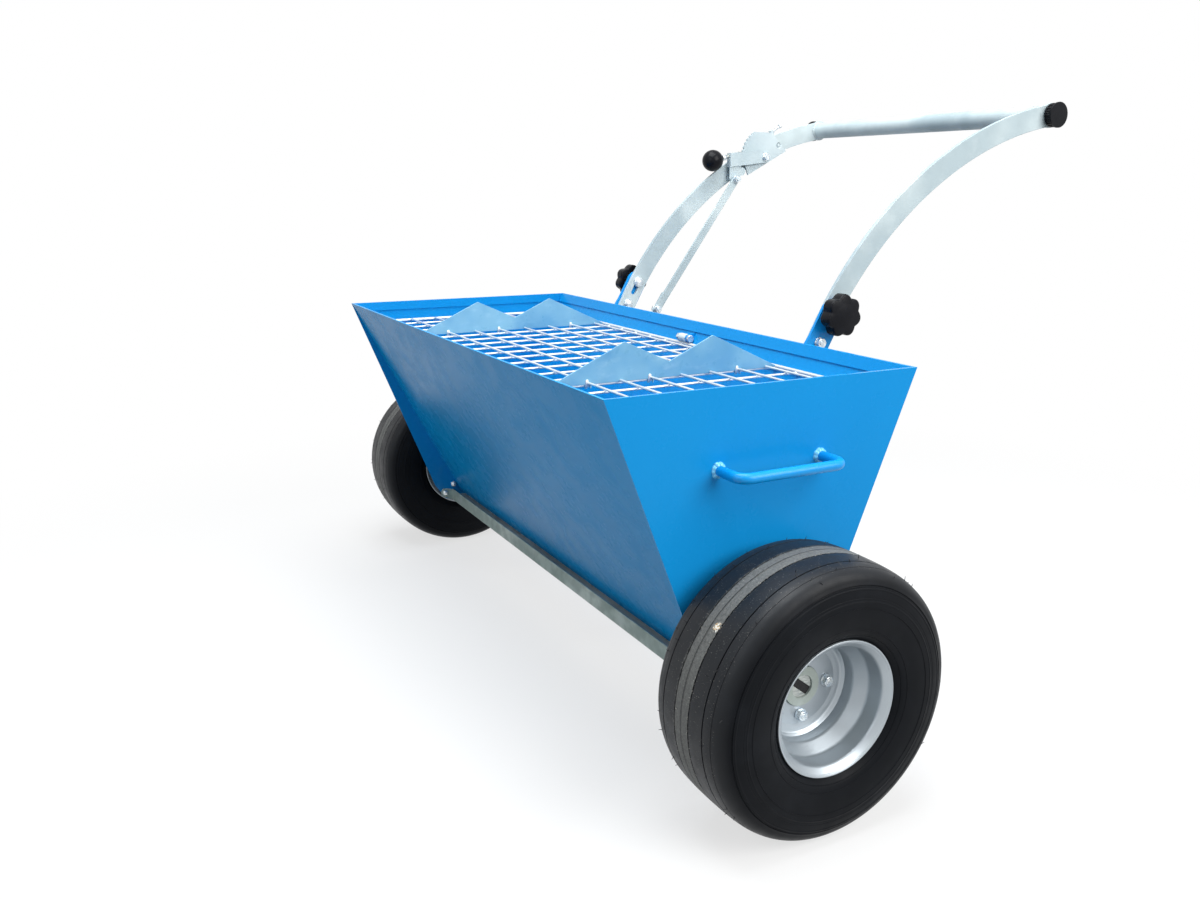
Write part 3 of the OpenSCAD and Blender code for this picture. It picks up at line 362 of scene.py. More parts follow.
def black_iron():
    """Blackened, slightly rusty iron with a cast skin."""
    f = Finish("black_iron", Metallic=0.2, Specular_IOR_Level=0.4)
    base = f.blend(f.noise(60.0, 5.0), srgb(18, 18, 20), srgb(40, 40, 42))
    f.colour(f.blend(f.span(f.noise(300.0, 4.0), 0.62, 0.76, 0.0, 0.5), base, srgb(84, 78, 72)))
    f.rough(f.span(f.noise(90.0, 4.0), 0.3, 0.7, 0.46, 0.66))
    f.normal(f.bump(f.noise(600.0, 5.0, 0.65), 0.4, 0.0006))
    return f.mat


def roller_rubber():
    """Dull black rubber of the feed roller, dusted along its ribs."""
    f = Finish("roller_rubber", Specular_IOR_Level=0.3)
    f.colour(f.blend(f.noise(40.0, 5.0), srgb(26, 26, 27), srgb(46, 46, 47)))
    f.rough(f.span(f.noise(70.0, 4.0), 0.3, 0.7, 0.5, 0.7))
    f.normal(f.bump(f.noise(700.0, 4.0), 0.2, 0.0004))
    return f.mat


# A pale fleck that sticks to the tread of the right tyre, as angle about the axle
FLECK_A = math.radians(141)
FLECK = (WHEEL_X + 12, (TYRE_R - 0.5) * math.cos(FLECK_A), AXLE_Z + (TYRE_R - 0.5) * math.sin(FLECK_A))
FINISHES = {
    "blue_coat": blue_coat(),
    # Painted shade: a copy of the blue coat for the front sheet alone, with a more saturated blue and almost no
    # specular, tuned to the shaded look of that face.
    "shaded_front_coat": blue_coat("shaded_front_coat", 0.03, (8, 138, 204), (16, 150, 214)),
    "blue_gloss": blue_coat("blue_gloss", 0.28, (6, 136, 212), (14, 150, 222)),
    # Painted highlight: a pale cyan-white copy of the blue coat for the handle welds, standing in for the light their
    # lumps catch.
    "weld_highlight_coat": blue_coat("weld_highlight_coat", 0.6, (84, 184, 232), (126, 206, 242)),
    "galvanised": galvanised(),
    "pale_zinc": galvanised("pale_zinc", (176, 192, 198), (208, 220, 224), (160, 176, 182)),
    "cast_zinc": galvanised("cast_zinc", (160, 170, 164), (186, 194, 188), (140, 150, 146)),
    "flush_zinc": galvanised("flush_zinc", (176, 192, 198), (208, 220, 224), (160, 176, 182)),
    "mottled_zinc": galvanised("mottled_zinc", (160, 178, 172), (196, 210, 204), (120, 136, 132), 0.45),
    "bright_wire": bright_wire(),
    "zinc_bolts": zinc_bolts(),
    "bright_steel": bright_steel(),
    "silver_paint": silver_paint(),
    "tyre_rubber": tyre_rubber(),
    "black_plastic": black_plastic(),
    "black_iron": black_iron(),
    "roller_rubber": roller_rubber(),
    "pale_blue_coat": pale_blue_coat(),
}


# Piece making

def show(name, mesh, finish, body, replaced=(), sharp=38):
    """Links a mesh as a piece that rides on a body and stands for CAD nodes."""
    mesh.materials.clear()
    mesh.materials.append(FINISHES[finish])
    mesh.shade_smooth()
    mesh.set_sharp_from_angle(angle=math.radians(sharp))
    piece = bpy.data.objects.new(name, mesh)
    bpy.context.scene.collection.objects.link(piece)
    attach(piece, body)
    if replaced:
        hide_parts(*replaced)
    return piece


def stand_for(node, bm, finish, sharp=38):
    """A new mesh in place of one CAD node, on that node's body."""
    return show(node + "_made", from_bm(bm, node + "_made"), finish, NODES[node]["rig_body"], [node], sharp)


def from_bm(bm, name):
    bmesh.ops.recalc_face_normals(bm, faces=bm.faces)
    mesh = bpy.data.meshes.new(name)
    bm.to_mesh(mesh)
    bm.free()
    return mesh


def soften(piece, width, angle=30, steps=2):
    """Small rounded edges, as pressed, cut and coated metal has."""
    bevel = piece.modifiers.new("edges", "BEVEL")
    bevel.width = width * MM
    bevel.segments = steps
    bevel.limit_method = "ANGLE"
    bevel.angle_limit = math.radians(angle)
    bevel.use_clamp_overlap = True
    bevel.harden_normals = False
    weight = piece.modifiers.new("even", "WEIGHTED_NORMAL")
    weight.keep_sharp = True
    return piece


def dress(node, finish, width=0.5, angle=30):
    """The CAD node's own shape with rounded edges and a finish."""
    source = NODES[node]
    bm = bmesh.new()
    bm.from_mesh(source.data)
    bmesh.ops.remove_doubles(bm, verts=bm.verts, dist=2e-6)
    bmesh.ops.dissolve_limit(bm, angle_limit=math.radians(0.6), verts=bm.verts, edges=bm.edges)
    mesh = from_bm(bm, node + "_dressed")
    piece = show(node + "_dressed", mesh, finish, source["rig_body"], [node], sharp=34)
    if width:
        piece.data.set_sharp_from_angle(angle=math.radians(60))
        soften(piece, width, angle)
    return piece


def fillet(points, radius, steps=5, closed=True):
    """A polygon with its corners rounded. radius is one number, or one for each corner."""
    out = []
    n = len(points)
    for i in range(n):
        r = radius[i] if isinstance(radius, (list, tuple)) else radius
        p = Vector(points[i])
        if (not closed and i in (0, n - 1)) or r <= 0:
            out.append(tuple(p))
            continue
        a = Vector(points[i - 1]) - p
        b = Vector(points[(i + 1) % n]) - p
        la, lb = a.length, b.length
        a.normalize()
        b.normalize()
        half = math.acos(max(-1, min(1, a.dot(b)))) / 2
        if half > math.radians(89) or half < 1e-3:
            out.append(tuple(p))
            continue
        cut = min(r / math.tan(half), la * 0.48, lb * 0.48)
        r = cut * math.tan(half)
        centre = p + (a + b).normalized() * (r / math.sin(half))
        start = p + a * cut - centre
        end = p + b * cut - centre
        angle = math.acos(max(-1, min(1, start.normalized().dot(end.normalized()))))
        for k in range(steps + 1):
            t = k / steps
            v = (math.sin((1 - t) * angle) * start + math.sin(t * angle) * end) / math.sin(angle)
            out.append(tuple(centre + v))
    return out


class Line:
    """A line in millimetres that turned shapes are drawn about. A mirrored line runs toward -X."""

    def __init__(self, at, towards):
        self.at = Vector(at)
        self.axis = Vector(towards).normalized()
        start = Vector((0, 0, 1)) if abs(self.axis.z) < 0.95 else Vector((0, 1, 0))
        self.v = self.axis.cross(start).normalized()
        self.u = self.v.cross(self.axis)

    def point(self, s, r, a):
        return place(*(self.at + self.axis * s + (self.u * math.cos(a) + self.v * math.sin(a)) * r))


def x_line(y, z, side=1):
    return Line((0, y, z), (side, 0, 0))


def bridge(bm, a, b):
    """Faces between two rings, of which one may be a single point."""
    n = max(len(a), len(b))
    for k in range(n):
        j = (k + 1) % n
        corners = [a[k % len(a)]]
        if len(a) > 1:
            corners.append(a[j])
        if len(b) > 1:
            corners.append(b[j])
        corners.append(b[k % len(b)])
        bm.faces.new(corners)


def loft(bm, rings, closed=False):
    """Rings of points joined in order, with the two ends closed or joined to each other."""
    made = [[bm.verts.new(p) for p in ring] for ring in rings]
    for a, b in zip(made, made[1:]):
        bridge(bm, a, b)
    if closed:
        bridge(bm, made[-1], made[0])
        return
    for ring in (made[0], made[-1]):
        if len(ring) > 2:
            bm.faces.new(ring)


def lathe(bm, line, profile, turns=32, closed=False):
    """A profile of (distance along, radius) turned about a line."""
    rings = []
    for s, r in profile:
        if r < 1e-4:
            rings.append([line.point(s, 0, 0)])
        else:
            rings.append([line.point(s, r, TAU * k / turns) for k in range(turns)])
    loft(bm, rings, closed)


def bar(bm, line, a, b, r, edge=0.5):
    lathe(bm, line, [(a, 0), (a, r - edge), (a + edge, r), (b - edge, r), (b, r - edge), (b, 0)])


def thread(bm, line, a, b, r, pitch=1.5):
    """A screwed length as fine ridges."""
    low, high = min(a, b), max(a, b)
    deep = 0.5 * pitch
    profile = [(low, 0), (low, r - deep * 1.2)]
    s = low + 0.4 * pitch
    while s < high - 0.6 * pitch:
        profile += [(s, r), (s + 0.15 * pitch, r), (s + 0.5 * pitch, r - deep), (s + 0.65 * pitch, r - deep)]
        s += pitch
    lathe(bm, line, profile + [(high, r - deep * 1.2), (high, 0)])


def washer(bm, line, a, b, r):
    lathe(bm, line, [(a, 0), (a, r - 0.5), (a + 0.3 * (b - a), r), (b - 0.3 * (b - a), r), (b, r - 0.5), (b, 0)], 40)


def hexagon(bm, line, a, b, af, ends=(1, 1)):
    """A hexagon with turned chamfers, which leave the arcs that show on its flats."""
    turns = 48
    low, high = min(a, b), max(a, b)
    flat = af / 2 * 0.93
    radius = [af / 2 / math.cos(math.radians((k * 7.5 + 30) % 60 - 30)) for k in range(turns)]
    rows = []
    for s, way, cut in ((low, 1, ends[0]), (high, -1, ends[1])):
        here = [[(s + way * (r - flat) * 0.5, r) for r in radius]] if cut else [[(s, r) for r in radius]]
        if cut:
            here.append([(s, flat)] * turns)
        rows += here[::-1] if way > 0 else here
    loft(bm, [[line.point(s, r, TAU * k / turns) for k, (s, r) in enumerate(row)] for row in rows])


def dome(bm, line, a, b, r):
    """A round head between its top at a and its flat side at b."""
    high = b - a
    steps = 8
    profile = [(a + high * (1 - math.cos(math.pi / 2 * k / steps)) * 0.86, r * math.sin(math.pi / 2 * k / steps))
               for k in range(steps + 1)]
    lathe(bm, line, profile + [(b, r), (b, 0)], 40)


MAKERS = {"bar": bar, "thread": thread, "washer": washer, "hex": hexagon, "dome": dome}


def hardware(node, groups, finish="zinc_bolts"):
    """Bolts, nuts and washers of one node: each group is a line and the shapes along it."""
    bm = bmesh.new()
    for line, shapes in groups:
        for kind, *sizes in shapes:
            MAKERS[kind](bm, line, *sizes)
    return stand_for(node, bm, finish, 24)


def bolt_shapes(x0, x1, d, af, wash_r, wash_t, head="hex"):
    """The shapes of a bolt that clamps x0 to x1, with its head past x1 and its nut past x0."""
    tall = 0.64 * d
    nut = 0.8 * d
    shapes = [("bar", x0 - wash_t - 1, x1 + wash_t + 1, d / 2), ("washer", x0 - wash_t, x0, wash_r),
              ("washer", x1, x1 + wash_t, wash_r), ("hex", x0 - wash_t - nut, x0 - wash_t, af, (1, 1)),
              ("thread", x0 - wash_t - nut * 1.3, x0 - wash_t - 1, d / 2)]
    if head == "hex":
        return shapes + [("hex", x1 + wash_t, x1 + wash_t + tall, af, (0, 1))]
    return shapes + [("dome", x1 + wash_t + tall, x1 + wash_t, af * 0.55)]


def tube(bm, points, radius, sides=20):
    """A round bar swept along a path."""
    points = [Vector(p) for p in points]
    side = None
    rings = []
    for i, p in enumerate(points):
        ahead = (points[min(i + 1, len(points) - 1)] - points[max(i - 1, 0)]).normalized()
        side = ahead.orthogonal() if side is None else side
        side = (side - ahead * side.dot(ahead)).normalized()
        other = ahead.cross(side)
        rings.append([place(*(p + (side * math.cos(a) + other * math.sin(a)) * radius))
                      for a in (TAU * k / sides for k in range(sides))])
    loft(bm, rings)


def weld(bm, line, s, r, size, way, lumps=14, seed=1, turns=96):
    """A bead of overlapping drops round a bar, from a plate at s toward way."""
    rng = random.Random(seed)
    tall = [rng.uniform(0.85, 1.1) for _ in range(lumps)]
    rings = []
    for k in range(turns):
        t = k / turns * lumps
        here = tall[int(t)] * (0.76 + 0.24 * math.sqrt(max(0.0, math.sin(math.pi * (t % 1)))))
        z = size * here
        corners = [(s - 0.4 * way, r - 1.5), (s - 0.4 * way, r + z), (s + 0.3 * z * way, r + 0.92 * z),
                   (s + 0.66 * z * way, r + 0.66 * z), (s + 0.92 * z * way, r + 0.3 * z), (s + z * way, r),
                   (s + z * way, r - 1.5)]
        rings.append([line.point(a, b, TAU * k / turns) for a, b in corners])
    loft(bm, rings, True)


# Wheels

def tyre_profile():
    """Half section of the tyre as (radius, distance from the middle), from the crown to the bead."""
    hw, f, r, b = TYRE_HALF_W, FLANGE_R, TYRE_R, BEAD_R + 0.05
    crown = [(r, 0), (r - 0.1, 16), (r - 0.5, 34), (r - 1.9, 56), (r - 4.4, 70), (r - 8.8, 80.5), (r - 16, 87.6),
             (r - 24, 91.2), (f + 90, 94.2), (f + 74, hw - 2.2), (f + 56, hw - 1.1), (f + 38, hw - 2.0),
             (f + 18, hw - 5.5), (f + 9, 90), (f + 4.4, 85.6), (f + 1, 82.6), (f - 4, 82.1), (f - 7, 81.2), (b, 77)]
    dense = [crown[0]]
    for i in range(len(crown) - 1):
        p0 = crown[max(0, i - 1)]
        p1, p2 = crown[i], crown[i + 1]
        p3 = crown[min(len(crown) - 1, i + 2)]
        if i == 0:
            p0 = (p2[0], -p2[1])
        n = max(2, int(math.dist(p1, p2) / 2.2))
        for k in range(1, n + 1):
            t = k / n
            dense.append(tuple(0.5 * (2 * p1[j] + (p2[j] - p0[j]) * t + (2 * p0[j] - 5 * p1[j] + 4 * p2[j] - p3[j]) * t * t
                                      + (3 * p1[j] - p0[j] - 3 * p2[j] + p3[j]) * t ** 3) for j in (0, 1)))
    return dense


def cut_line(profile, at, by, depth, half, steep=0.5):
    """A fine moulded line or groove in a profile: by picks radius (0) or distance across (1), depth goes inward."""
    out = []
    for i in range(len(profile) - 1):
        p, q = profile[i], profile[i + 1]
        out.append(p)
        lo, hi = sorted((p[by], q[by]))
        if not lo <= at < hi:
            continue
        t = (at - p[by]) / (q[by] - p[by])
        c = Vector((p[0] + (q[0] - p[0]) * t, p[1] + (q[1] - p[1]) * t))
        d = Vector((q[0] - p[0], q[1] - p[1])).normalized()
        n = Vector((d[1], -d[0]))
        if n.dot(Vector((c[0] - 170, c[1]))) > 0:
            n = -n
        while out and (Vector(out[-1]) - c).length < half * 1.1:
            out.pop()
        out += [tuple(c - d * half), tuple(c - d * half * steep + n * depth), tuple(c + d * half * steep + n * depth),
                tuple(c + d * half)]
        return out + [v for v in profile[i + 1:] if (Vector(v) - c).length > half * 1.1]
    return out + [profile[-1]]


def tyre_mesh(side):
    half = tyre_profile()
    for at, depth, width, steep in [(54, 2.8, 1.2, 0.6), (19, 3.0, 1.2, 0.6), (72, 0.7, 0.7, 0.4)]:
        half = cut_line(half, at, 1, depth, width, steep)
    lines = [(206, 1.3, 1.5), (201.5, -0.5, 1.2), (188, 0.4, 0.7), (182, -0.35, 0.7), (172, -0.8, 0.9), (136, -0.6, 0.8),
             (125.5, 0.6, 0.8)]
    for at, depth, width in lines:
        half = cut_line(half, at, 0, depth, width)
    half[0:1] = [(TYRE_R - 0.8, 0), (TYRE_R - 0.8, 0.3), (TYRE_R, 0.9)]
    inner = [(BEAD_R + 0.05, 66), (BEAD_R + 1, 66), (FLANGE_R + 10, 78), (FLANGE_R + 26, 86), (FLANGE_R + 50, 91),
             (FLANGE_R + 74, 90.5), (TYRE_R - 24, 83), (TYRE_R - 14, 70), (TYRE_R - 10, 36)]
    ring = [(WHEEL_X + u, r) for r, u in half + inner]
    ring += [(WHEEL_X - u, r) for r, u in reversed(half[1:] + inner)]
    bm = bmesh.new()
    lathe(bm, x_line(0, AXLE_Z, side), ring, 192, True)
    return bm


def hair(bm, root, tip, bend, thick):
    """A short curved rubber hair left by a vent of the mould."""
    mid = (root + tip) / 2 + bend
    axis = (tip - root).normalized()
    u = axis.orthogonal().normalized()
    v = axis.cross(u)
    rings = []
    for t, r in ((0.0, 1.3), (0.35, 1.0), (0.7, 0.8), (1.0, 0.45)):
        c = (1 - t) ** 2 * root + 2 * t * (1 - t) * mid + t * t * tip
        rings.append([c + (u * math.cos(a) + v * math.sin(a)) * r * thick for a in (TAU * k / 5 for k in range(5))])
    loft(bm, rings)


def tyre_hairs(side, seed):
    """Rows of mould hairs on both shoulders, beside the grooves and by the bead."""
    rng = random.Random(seed)
    bm = bmesh.new()
    rows = [(71.0, 229.6, 24), (-71.0, 229.6, 24), (55.5, 232.0, 18), (-55.5, 232.0, 18), (40.0, 233.4, 9),
            (-30.0, 233.6, 8), (83.5, 222.5, 10), (84.5, 119.5, 9), (93.4, 205.0, 12)]
    for across, radius, count in rows:
        for k in range(count):
            a = TAU * (k + rng.uniform(-0.42, 0.42)) / count
            lift = rng.uniform(4.5, 8.5) if radius > 206 else rng.uniform(2.4, 4.2)
            lean = rng.uniform(-0.8, 0.8)
            sway = rng.uniform(-0.5, 0.35) if radius > 206 else rng.uniform(0.1, 0.5)
            skip = rng.random() < 0.2
            if skip or (radius > 200 and -2.4 < math.atan2(math.sin(a), math.cos(a)) < -0.8):
                continue
            out = Vector((0, math.cos(a), math.sin(a)))
            tang = Vector((0, -math.sin(a), math.cos(a)))
            x = side * (WHEEL_X + across + rng.uniform(-1.5, 1.5))
            root = place(x, radius * math.cos(a), AXLE_Z + radius * math.sin(a)) - out * MM
            way = out * (0.9 if radius > 206 else 0.15) + tang * lean + Vector((side * sway, 0, 0))
            hair(bm, root, root + way.normalized() * lift * MM, tang * rng.uniform(-1.6, 1.6) * MM, 0.58 * MM)
    return bm


def rim_mesh(side):
    """Pressed rim: rolled lip, bead seats, stepped well, and the disc with its soft outer corner."""
    f, b, w = FLANGE_R, BEAD_R, 3.1
    half = [(-86.5, f), (-86.5, f - 2.5), (-84.3, b + 2.5), (-79.5, b - w), (-46, b - w), (-24, 84.6), (24, 84.6),
            (46, b - w), (75.5, b - w), (84.2, 110.0), (84.4, 110.9), (85.6, 111.8), (85.8, 112.5), (86.5, 112.9),
            (86.5, f), (82, f), (80.8, b + 3.5), (77, b), (44.5, b), (22.5, 87.7), (-22.5, 87.7), (-44.5, b), (-77, b),
            (-80.8, b + 3.5), (-82, f)]
    radii = [1.2, 1.6, 5.0, 7.0, 12, 12, 12, 12, 9.0, 9.0, 0.5, 0.3, 0.3, 0.6, 0.8, 0.8, 3, 4, 7, 6, 6, 7, 4, 3, 0.8]
    section = fillet([(WHEEL_X + u, r) for u, r in half], radii, 7)
    bm = bmesh.new()
    line = x_line(0, AXLE_Z, side)
    lathe(bm, line, section, 160, True)
    disc = [(DISC_X, 34.7), (DISC_X + 5, 34.7), (DISC_X + 5, 67), (DISC_X + 6.6, 74), (DISC_X + 7.4, 79.5),
            (DISC_X + 14, 85.3), (DISC_X + 5.0, 85.3), (DISC_X, 80.5)]
    lathe(bm, line, fillet(disc, [0.6, 0.8, 9, 9, 7, 0.5, 0.5, 4], 6), 160, True)
    weld(bm, line, DISC_X + 0.6, 81.6, 3.4, -1, 60, 5 + side, 300)
    return bm


for s, hand in ((1, "right"), (-1, "left")):
    stand_for(hand + "_tyre", tyre_mesh(s), "tyre_rubber", 50)
    stand_for(hand + "_rim", rim_mesh(s), "silver_paint", 40)
    hairs = from_bm(tyre_hairs(s, 11 + s), hand + "_hairs")
    show(hand + "_tyre_hairs", hairs, "tyre_rubber", NODES[hand + "_tyre"]["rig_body"], (), 60)
    groups = []
    for k in range(4):
        y = BOLT_CIRCLE * math.cos(k * math.pi / 2)
        z = AXLE_Z + BOLT_CIRCLE * math.sin(k * math.pi / 2)
        face = DISC_X + DISC_T
        groups.append((x_line(y, z, s), [
            ("bar", DISC_X - 22, face + 4, 5), ("washer", face, face + 2.5, 10.5),
            ("hex", face + 2.5, face + 11.5, 17, (0, 1)), ("bar", face + 11, face + 12.2, 4.8),
            ("hex", DISC_X - 18, DISC_X - 10, 17, (1, 0)), ("thread", DISC_X - 22, DISC_X - 17, 5)]))
    hardware(hand + "_wheel_bolts", groups)

# Screws and bolts
left = [x_line(y, z, -1) for y, z in ((PIVOT_Y, PIVOT_Z), (664.5, 1041), (HALF_W + 111, RIM_Z - 17), (815, 1133))]
strip_groups = []
house_groups = []
for s in (-1, 1):
    for y, z in ((-71, 165), (-45.5, 188.5)):
        strip_groups.append((x_line(y, z, -s), bolt_shapes(-HALF_LEN, -INNER_X + 3, 8, 13, 8, 1.6, "dome")))
    for k in range(4):
        y = 46.5 * math.cos(k * math.pi / 2)
        z = AXLE_Z + 46.5 * math.sin(k * math.pi / 2)
        house_groups.append((x_line(y, z, s), bolt_shapes(INNER_X, HALF_LEN + 10, 8, 13, 8, 1.2)))
hardware("strip_bolts", strip_groups)
hardware("housing_bolts", house_groups)
hardware("knob_bolts", [(x_line(BOLT_Y, BOLT_Z, s), [
    ("dome", ARM_IN - 9, ARM_IN, 14), ("bar", ARM_IN - 0.2, BRACKET_OUT + 22, 6),
    ("thread", BRACKET_OUT + 21, BRACKET_OUT + 30, 6)]) for s in (-1, 1)])
hardware("arm_bolts", [(x_line(LOW_Y, LOW_Z, s), [
    ("dome", ARM_IN - 9, ARM_IN, 14), ("bar", ARM_IN - 0.2, BRACKET_OUT + 3, 6),
    ("washer", BRACKET_OUT, BRACKET_OUT + 2, 11.5), ("hex", BRACKET_OUT + 2, BRACKET_OUT + 11, 19, (1, 1)),
    ("thread", BRACKET_OUT + 3, BRACKET_OUT + 13, 6)]) for s in (-1, 1)])
hardware("lever_bolt", [(left[0], [
    ("bar", -NEAR_X - CHEEK_T - 3, ARM_OUT + 3, 5), ("washer", ARM_OUT, ARM_OUT + 2, 10),
    ("hex", ARM_OUT + 2, ARM_OUT + 10, 17, (1, 1)), ("thread", ARM_OUT + 3, ARM_OUT + 13, 5),
    ("bar", -FAR_X + 0.1, ARM_IN, 9), ("bar", -QUAD_X, -FAR_X - CHEEK_T - 0.1, 9),
    ("bar", -NEAR_X + 0.1, -QUAD_X - QUAD_T, 8), ("washer", -NEAR_X - CHEEK_T - 2, -NEAR_X - CHEEK_T - 0.1, 11),
    ("hex", -NEAR_X - CHEEK_T - 9, -NEAR_X - CHEEK_T - 2, 17, (1, 0)),
    ("bar", -NEAR_X - CHEEK_T - 5, -NEAR_X - CHEEK_T, 5)])])
hardware("link_bolts", [
    (left[1], bolt_shapes(-LINK_X - BAR_T, -TAB_X, 10, 16, 9.6, 1.6)
     + [("bar", -LINK_X + 0.1, -NEAR_X - 0.2, 8.5)]),
    (left[2], bolt_shapes(-LINK_X - BAR_T, -LINK_X + BAR_T, 10, 16, 9.8, 1.6))])
hardware("quadrant_bolt", [(left[3], [
    ("bar", -QUAD_X - QUAD_T + 0.1, ARM_OUT + 2, 4, 0.3), ("washer", ARM_OUT, ARM_OUT + 1.6, 8),
    ("hex", ARM_OUT + 1.6, ARM_OUT + 8, 13, (1, 1)), ("thread", ARM_OUT + 2, ARM_OUT + 10, 4, 1.25)])],
    "flush_zinc")
screw_line = Line((QUAD_X + 0.5, 796 - 4 * 0.496, 1166 + 4 * 0.868),
                  (0, math.sin(math.radians(60.3)), math.cos(math.radians(60.3))))
hardware("quadrant_screw", [(screw_line, [
    ("thread", -8.5, 27, 3, 1.0), ("hex", 26.5, 32, 10, (0, 1)), ("hex", 0.1, 4.1, 10, (1, 1))])])
latch_line = Line((-372.5, 598, 1089), (0, math.cos(LATCH_A), math.sin(LATCH_A)))
hardware("latch_nut", [(latch_line, [("hex", 31, 39, 14, (1, 1)), ("washer", 39, 40.6, 7.6)])])
hardware("latch_pin", [(latch_line, [
    ("bar", 18, 94.8, 3.5), ("bar", 85.8, 88.8, 5), ("bar", 44, 47, 6), ("thread", 30.6, 44, 3.5, 1.25)])],
    "bright_steel")
hardware("grate_bolt", [(x_line(TILT_Y, TILT_Z), [
    ("bar", BUSH_X - 4, LUG_X + LUG_T + 1, 5), ("washer", LUG_X - 2.1, LUG_X - 0.1, 8.8),
    ("washer", BUSH_X - 2.2, BUSH_X - 0.2, 8.8), ("hex", LUG_X + LUG_T + 0.1, LUG_X + LUG_T + 6.5, 16, (0, 1)),
    ("hex", BUSH_X - 10.2, BUSH_X - 2.2, 16, (1, 0))])])

# Lift handles: a bent bar with a lumpy weld at each end
for s, hand in ((1, "right"), (-1, "left")):
    path = []
    for end in (-1, 1):
        leg = [(HALF_LEN, 1 + end * LIFT_HALF), (LIFT_X - LIFT_BEND, 1 + end * LIFT_HALF)]
        for k in range(1, 10):
            a = math.radians(90 * k / 9)
            leg.append((LIFT_X - LIFT_BEND + LIFT_BEND * math.sin(a),
                        1 + end * (LIFT_HALF - LIFT_BEND + LIFT_BEND * math.cos(a))))
        path += leg if end < 0 else leg[::-1]
    bm = bmesh.new()
    tube(bm, [(s * x, y, LIFT_Z) for x, y in path], LIFT_R, 28)
    stand_for(hand + "_lift_handle", bm, "blue_gloss", 50)
    bm = bmesh.new()
    for k, end in enumerate((-1, 1)):
        weld(bm, x_line(1 + end * LIFT_HALF, LIFT_Z, s), HALF_LEN, LIFT_R - 0.3, 5.6, 1, 9, 20 + 2 * s + k)
    welds = from_bm(bm, hand + "_handle_welds")
    # The welds take the pale cyan copy of the blue coat, a painted highlight.
    show(hand + "_handle_welds", welds, "weld_highlight_coat", NODES[hand + "_lift_handle"]["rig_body"], (), 50)

# Cross tube with its welds to the arms
bm = bmesh.new()
tube_end = ARM_OUT + 8
lathe(bm, x_line(TUBE_Y, TUBE_Z), [(-tube_end, TUBE_R - 2.5), (-tube_end, TUBE_R), (tube_end, TUBE_R),
                                   (tube_end, TUBE_R - 2.5)], 72, True)
for s in (-1, 1):
    weld(bm, x_line(TUBE_Y, TUBE_Z, s), ARM_IN, TUBE_R, 4.4, -1, 22, 40 + s)
stand_for("cross_tube", bm, "galvanised", 50)


# Star knobs: seven rounded lobes with a slightly domed front, on a ribbed hub
KNOB_R, KNOB_VALLEY, KNOB_HUB_R, KNOB_BORE_R = 43.0, 36.6, 24.0, 6.06


def star_knob(side):
    turns = 168
    back = BRACKET_OUT + 0.1
    head = BRACKET_OUT + 13
    face = BRACKET_OUT + 38.6

    def lobes(inset):
        out = []
        for k in range(turns):
            wave = (0.5 + 0.5 * math.cos(7 * TAU * k / turns)) ** 0.6
            out.append(KNOB_VALLEY + (KNOB_R - KNOB_VALLEY) * wave - inset)
        return out

    def ribs(inset):
        return [KNOB_HUB_R + 2.4 * (0.5 + 0.5 * math.cos(14 * TAU * k / turns)) ** 0.6 - inset for k in range(turns)]

    def ring(radius):
        return [radius] * turns

    rows = [(BRACKET_OUT + 32, [0.0]), (BRACKET_OUT + 32, ring(KNOB_BORE_R)), (back, ring(KNOB_BORE_R)), (back, ribs(0.9)),
            (back + 0.9, ribs(0)), (head - 1.2, ribs(0)), (head, ribs(-0.8)), (head + 0.1, lobes(2.6))]
    for k in range(1, 7):
        a = math.pi / 2 * k / 6
        rows.append((head + 0.1 + 2.6 * (1 - math.cos(a)), lobes(2.6 * (1 - math.sin(a)))))
    for k in range(0, 8):
        a = math.pi / 2 * k / 7 * 0.9
        rows.append((face - 4.5 * (1 - math.sin(a)), lobes(4.5 * (1 - math.cos(a)))))
    rows += [(face + 0.5, ring(27.5)), (face + 1.6, ring(21)), (face + 2.4, ring(14)), (face + 2.9, ring(7)),
             (face + 3.0, [0.0])]
    line = x_line(BOLT_Y, BOLT_Z, side)
    bm = bmesh.new()
    loft(bm, [[line.point(x, r, TAU * k / turns) for k, r in enumerate(ring)] for x, ring in rows])
    return bm


stand_for("right_star_knob", star_knob(1), "black_plastic", 42)
stand_for("left_star_knob", star_knob(-1), "black_plastic", 42)

# Ball knob on the latch pin
bm = bmesh.new()
ball = [(-28 * math.cos(math.radians(a)), 28 * math.sin(math.radians(a))) for a in range(0, 156, 5)]
lathe(bm, latch_line, ball + [(26.4, 10.4), (27.0, 9.0), (29.8, 8.6), (30.7, 7.8), (30.7, 3.5), (18, 3.5)], 56)
stand_for("ball_knob", bm, "black_plastic", 42)


# Grate: round wires with a nub at each weld
def nub(bm, x, y, z, rx, ry, rz):
    made = bmesh.ops.create_icosphere(bm, subdivisions=1, radius=1.0)
    for v in made["verts"]:
        v.co = place(x + v.co.x * rx, y + v.co.y * ry, z + v.co.z * rz)


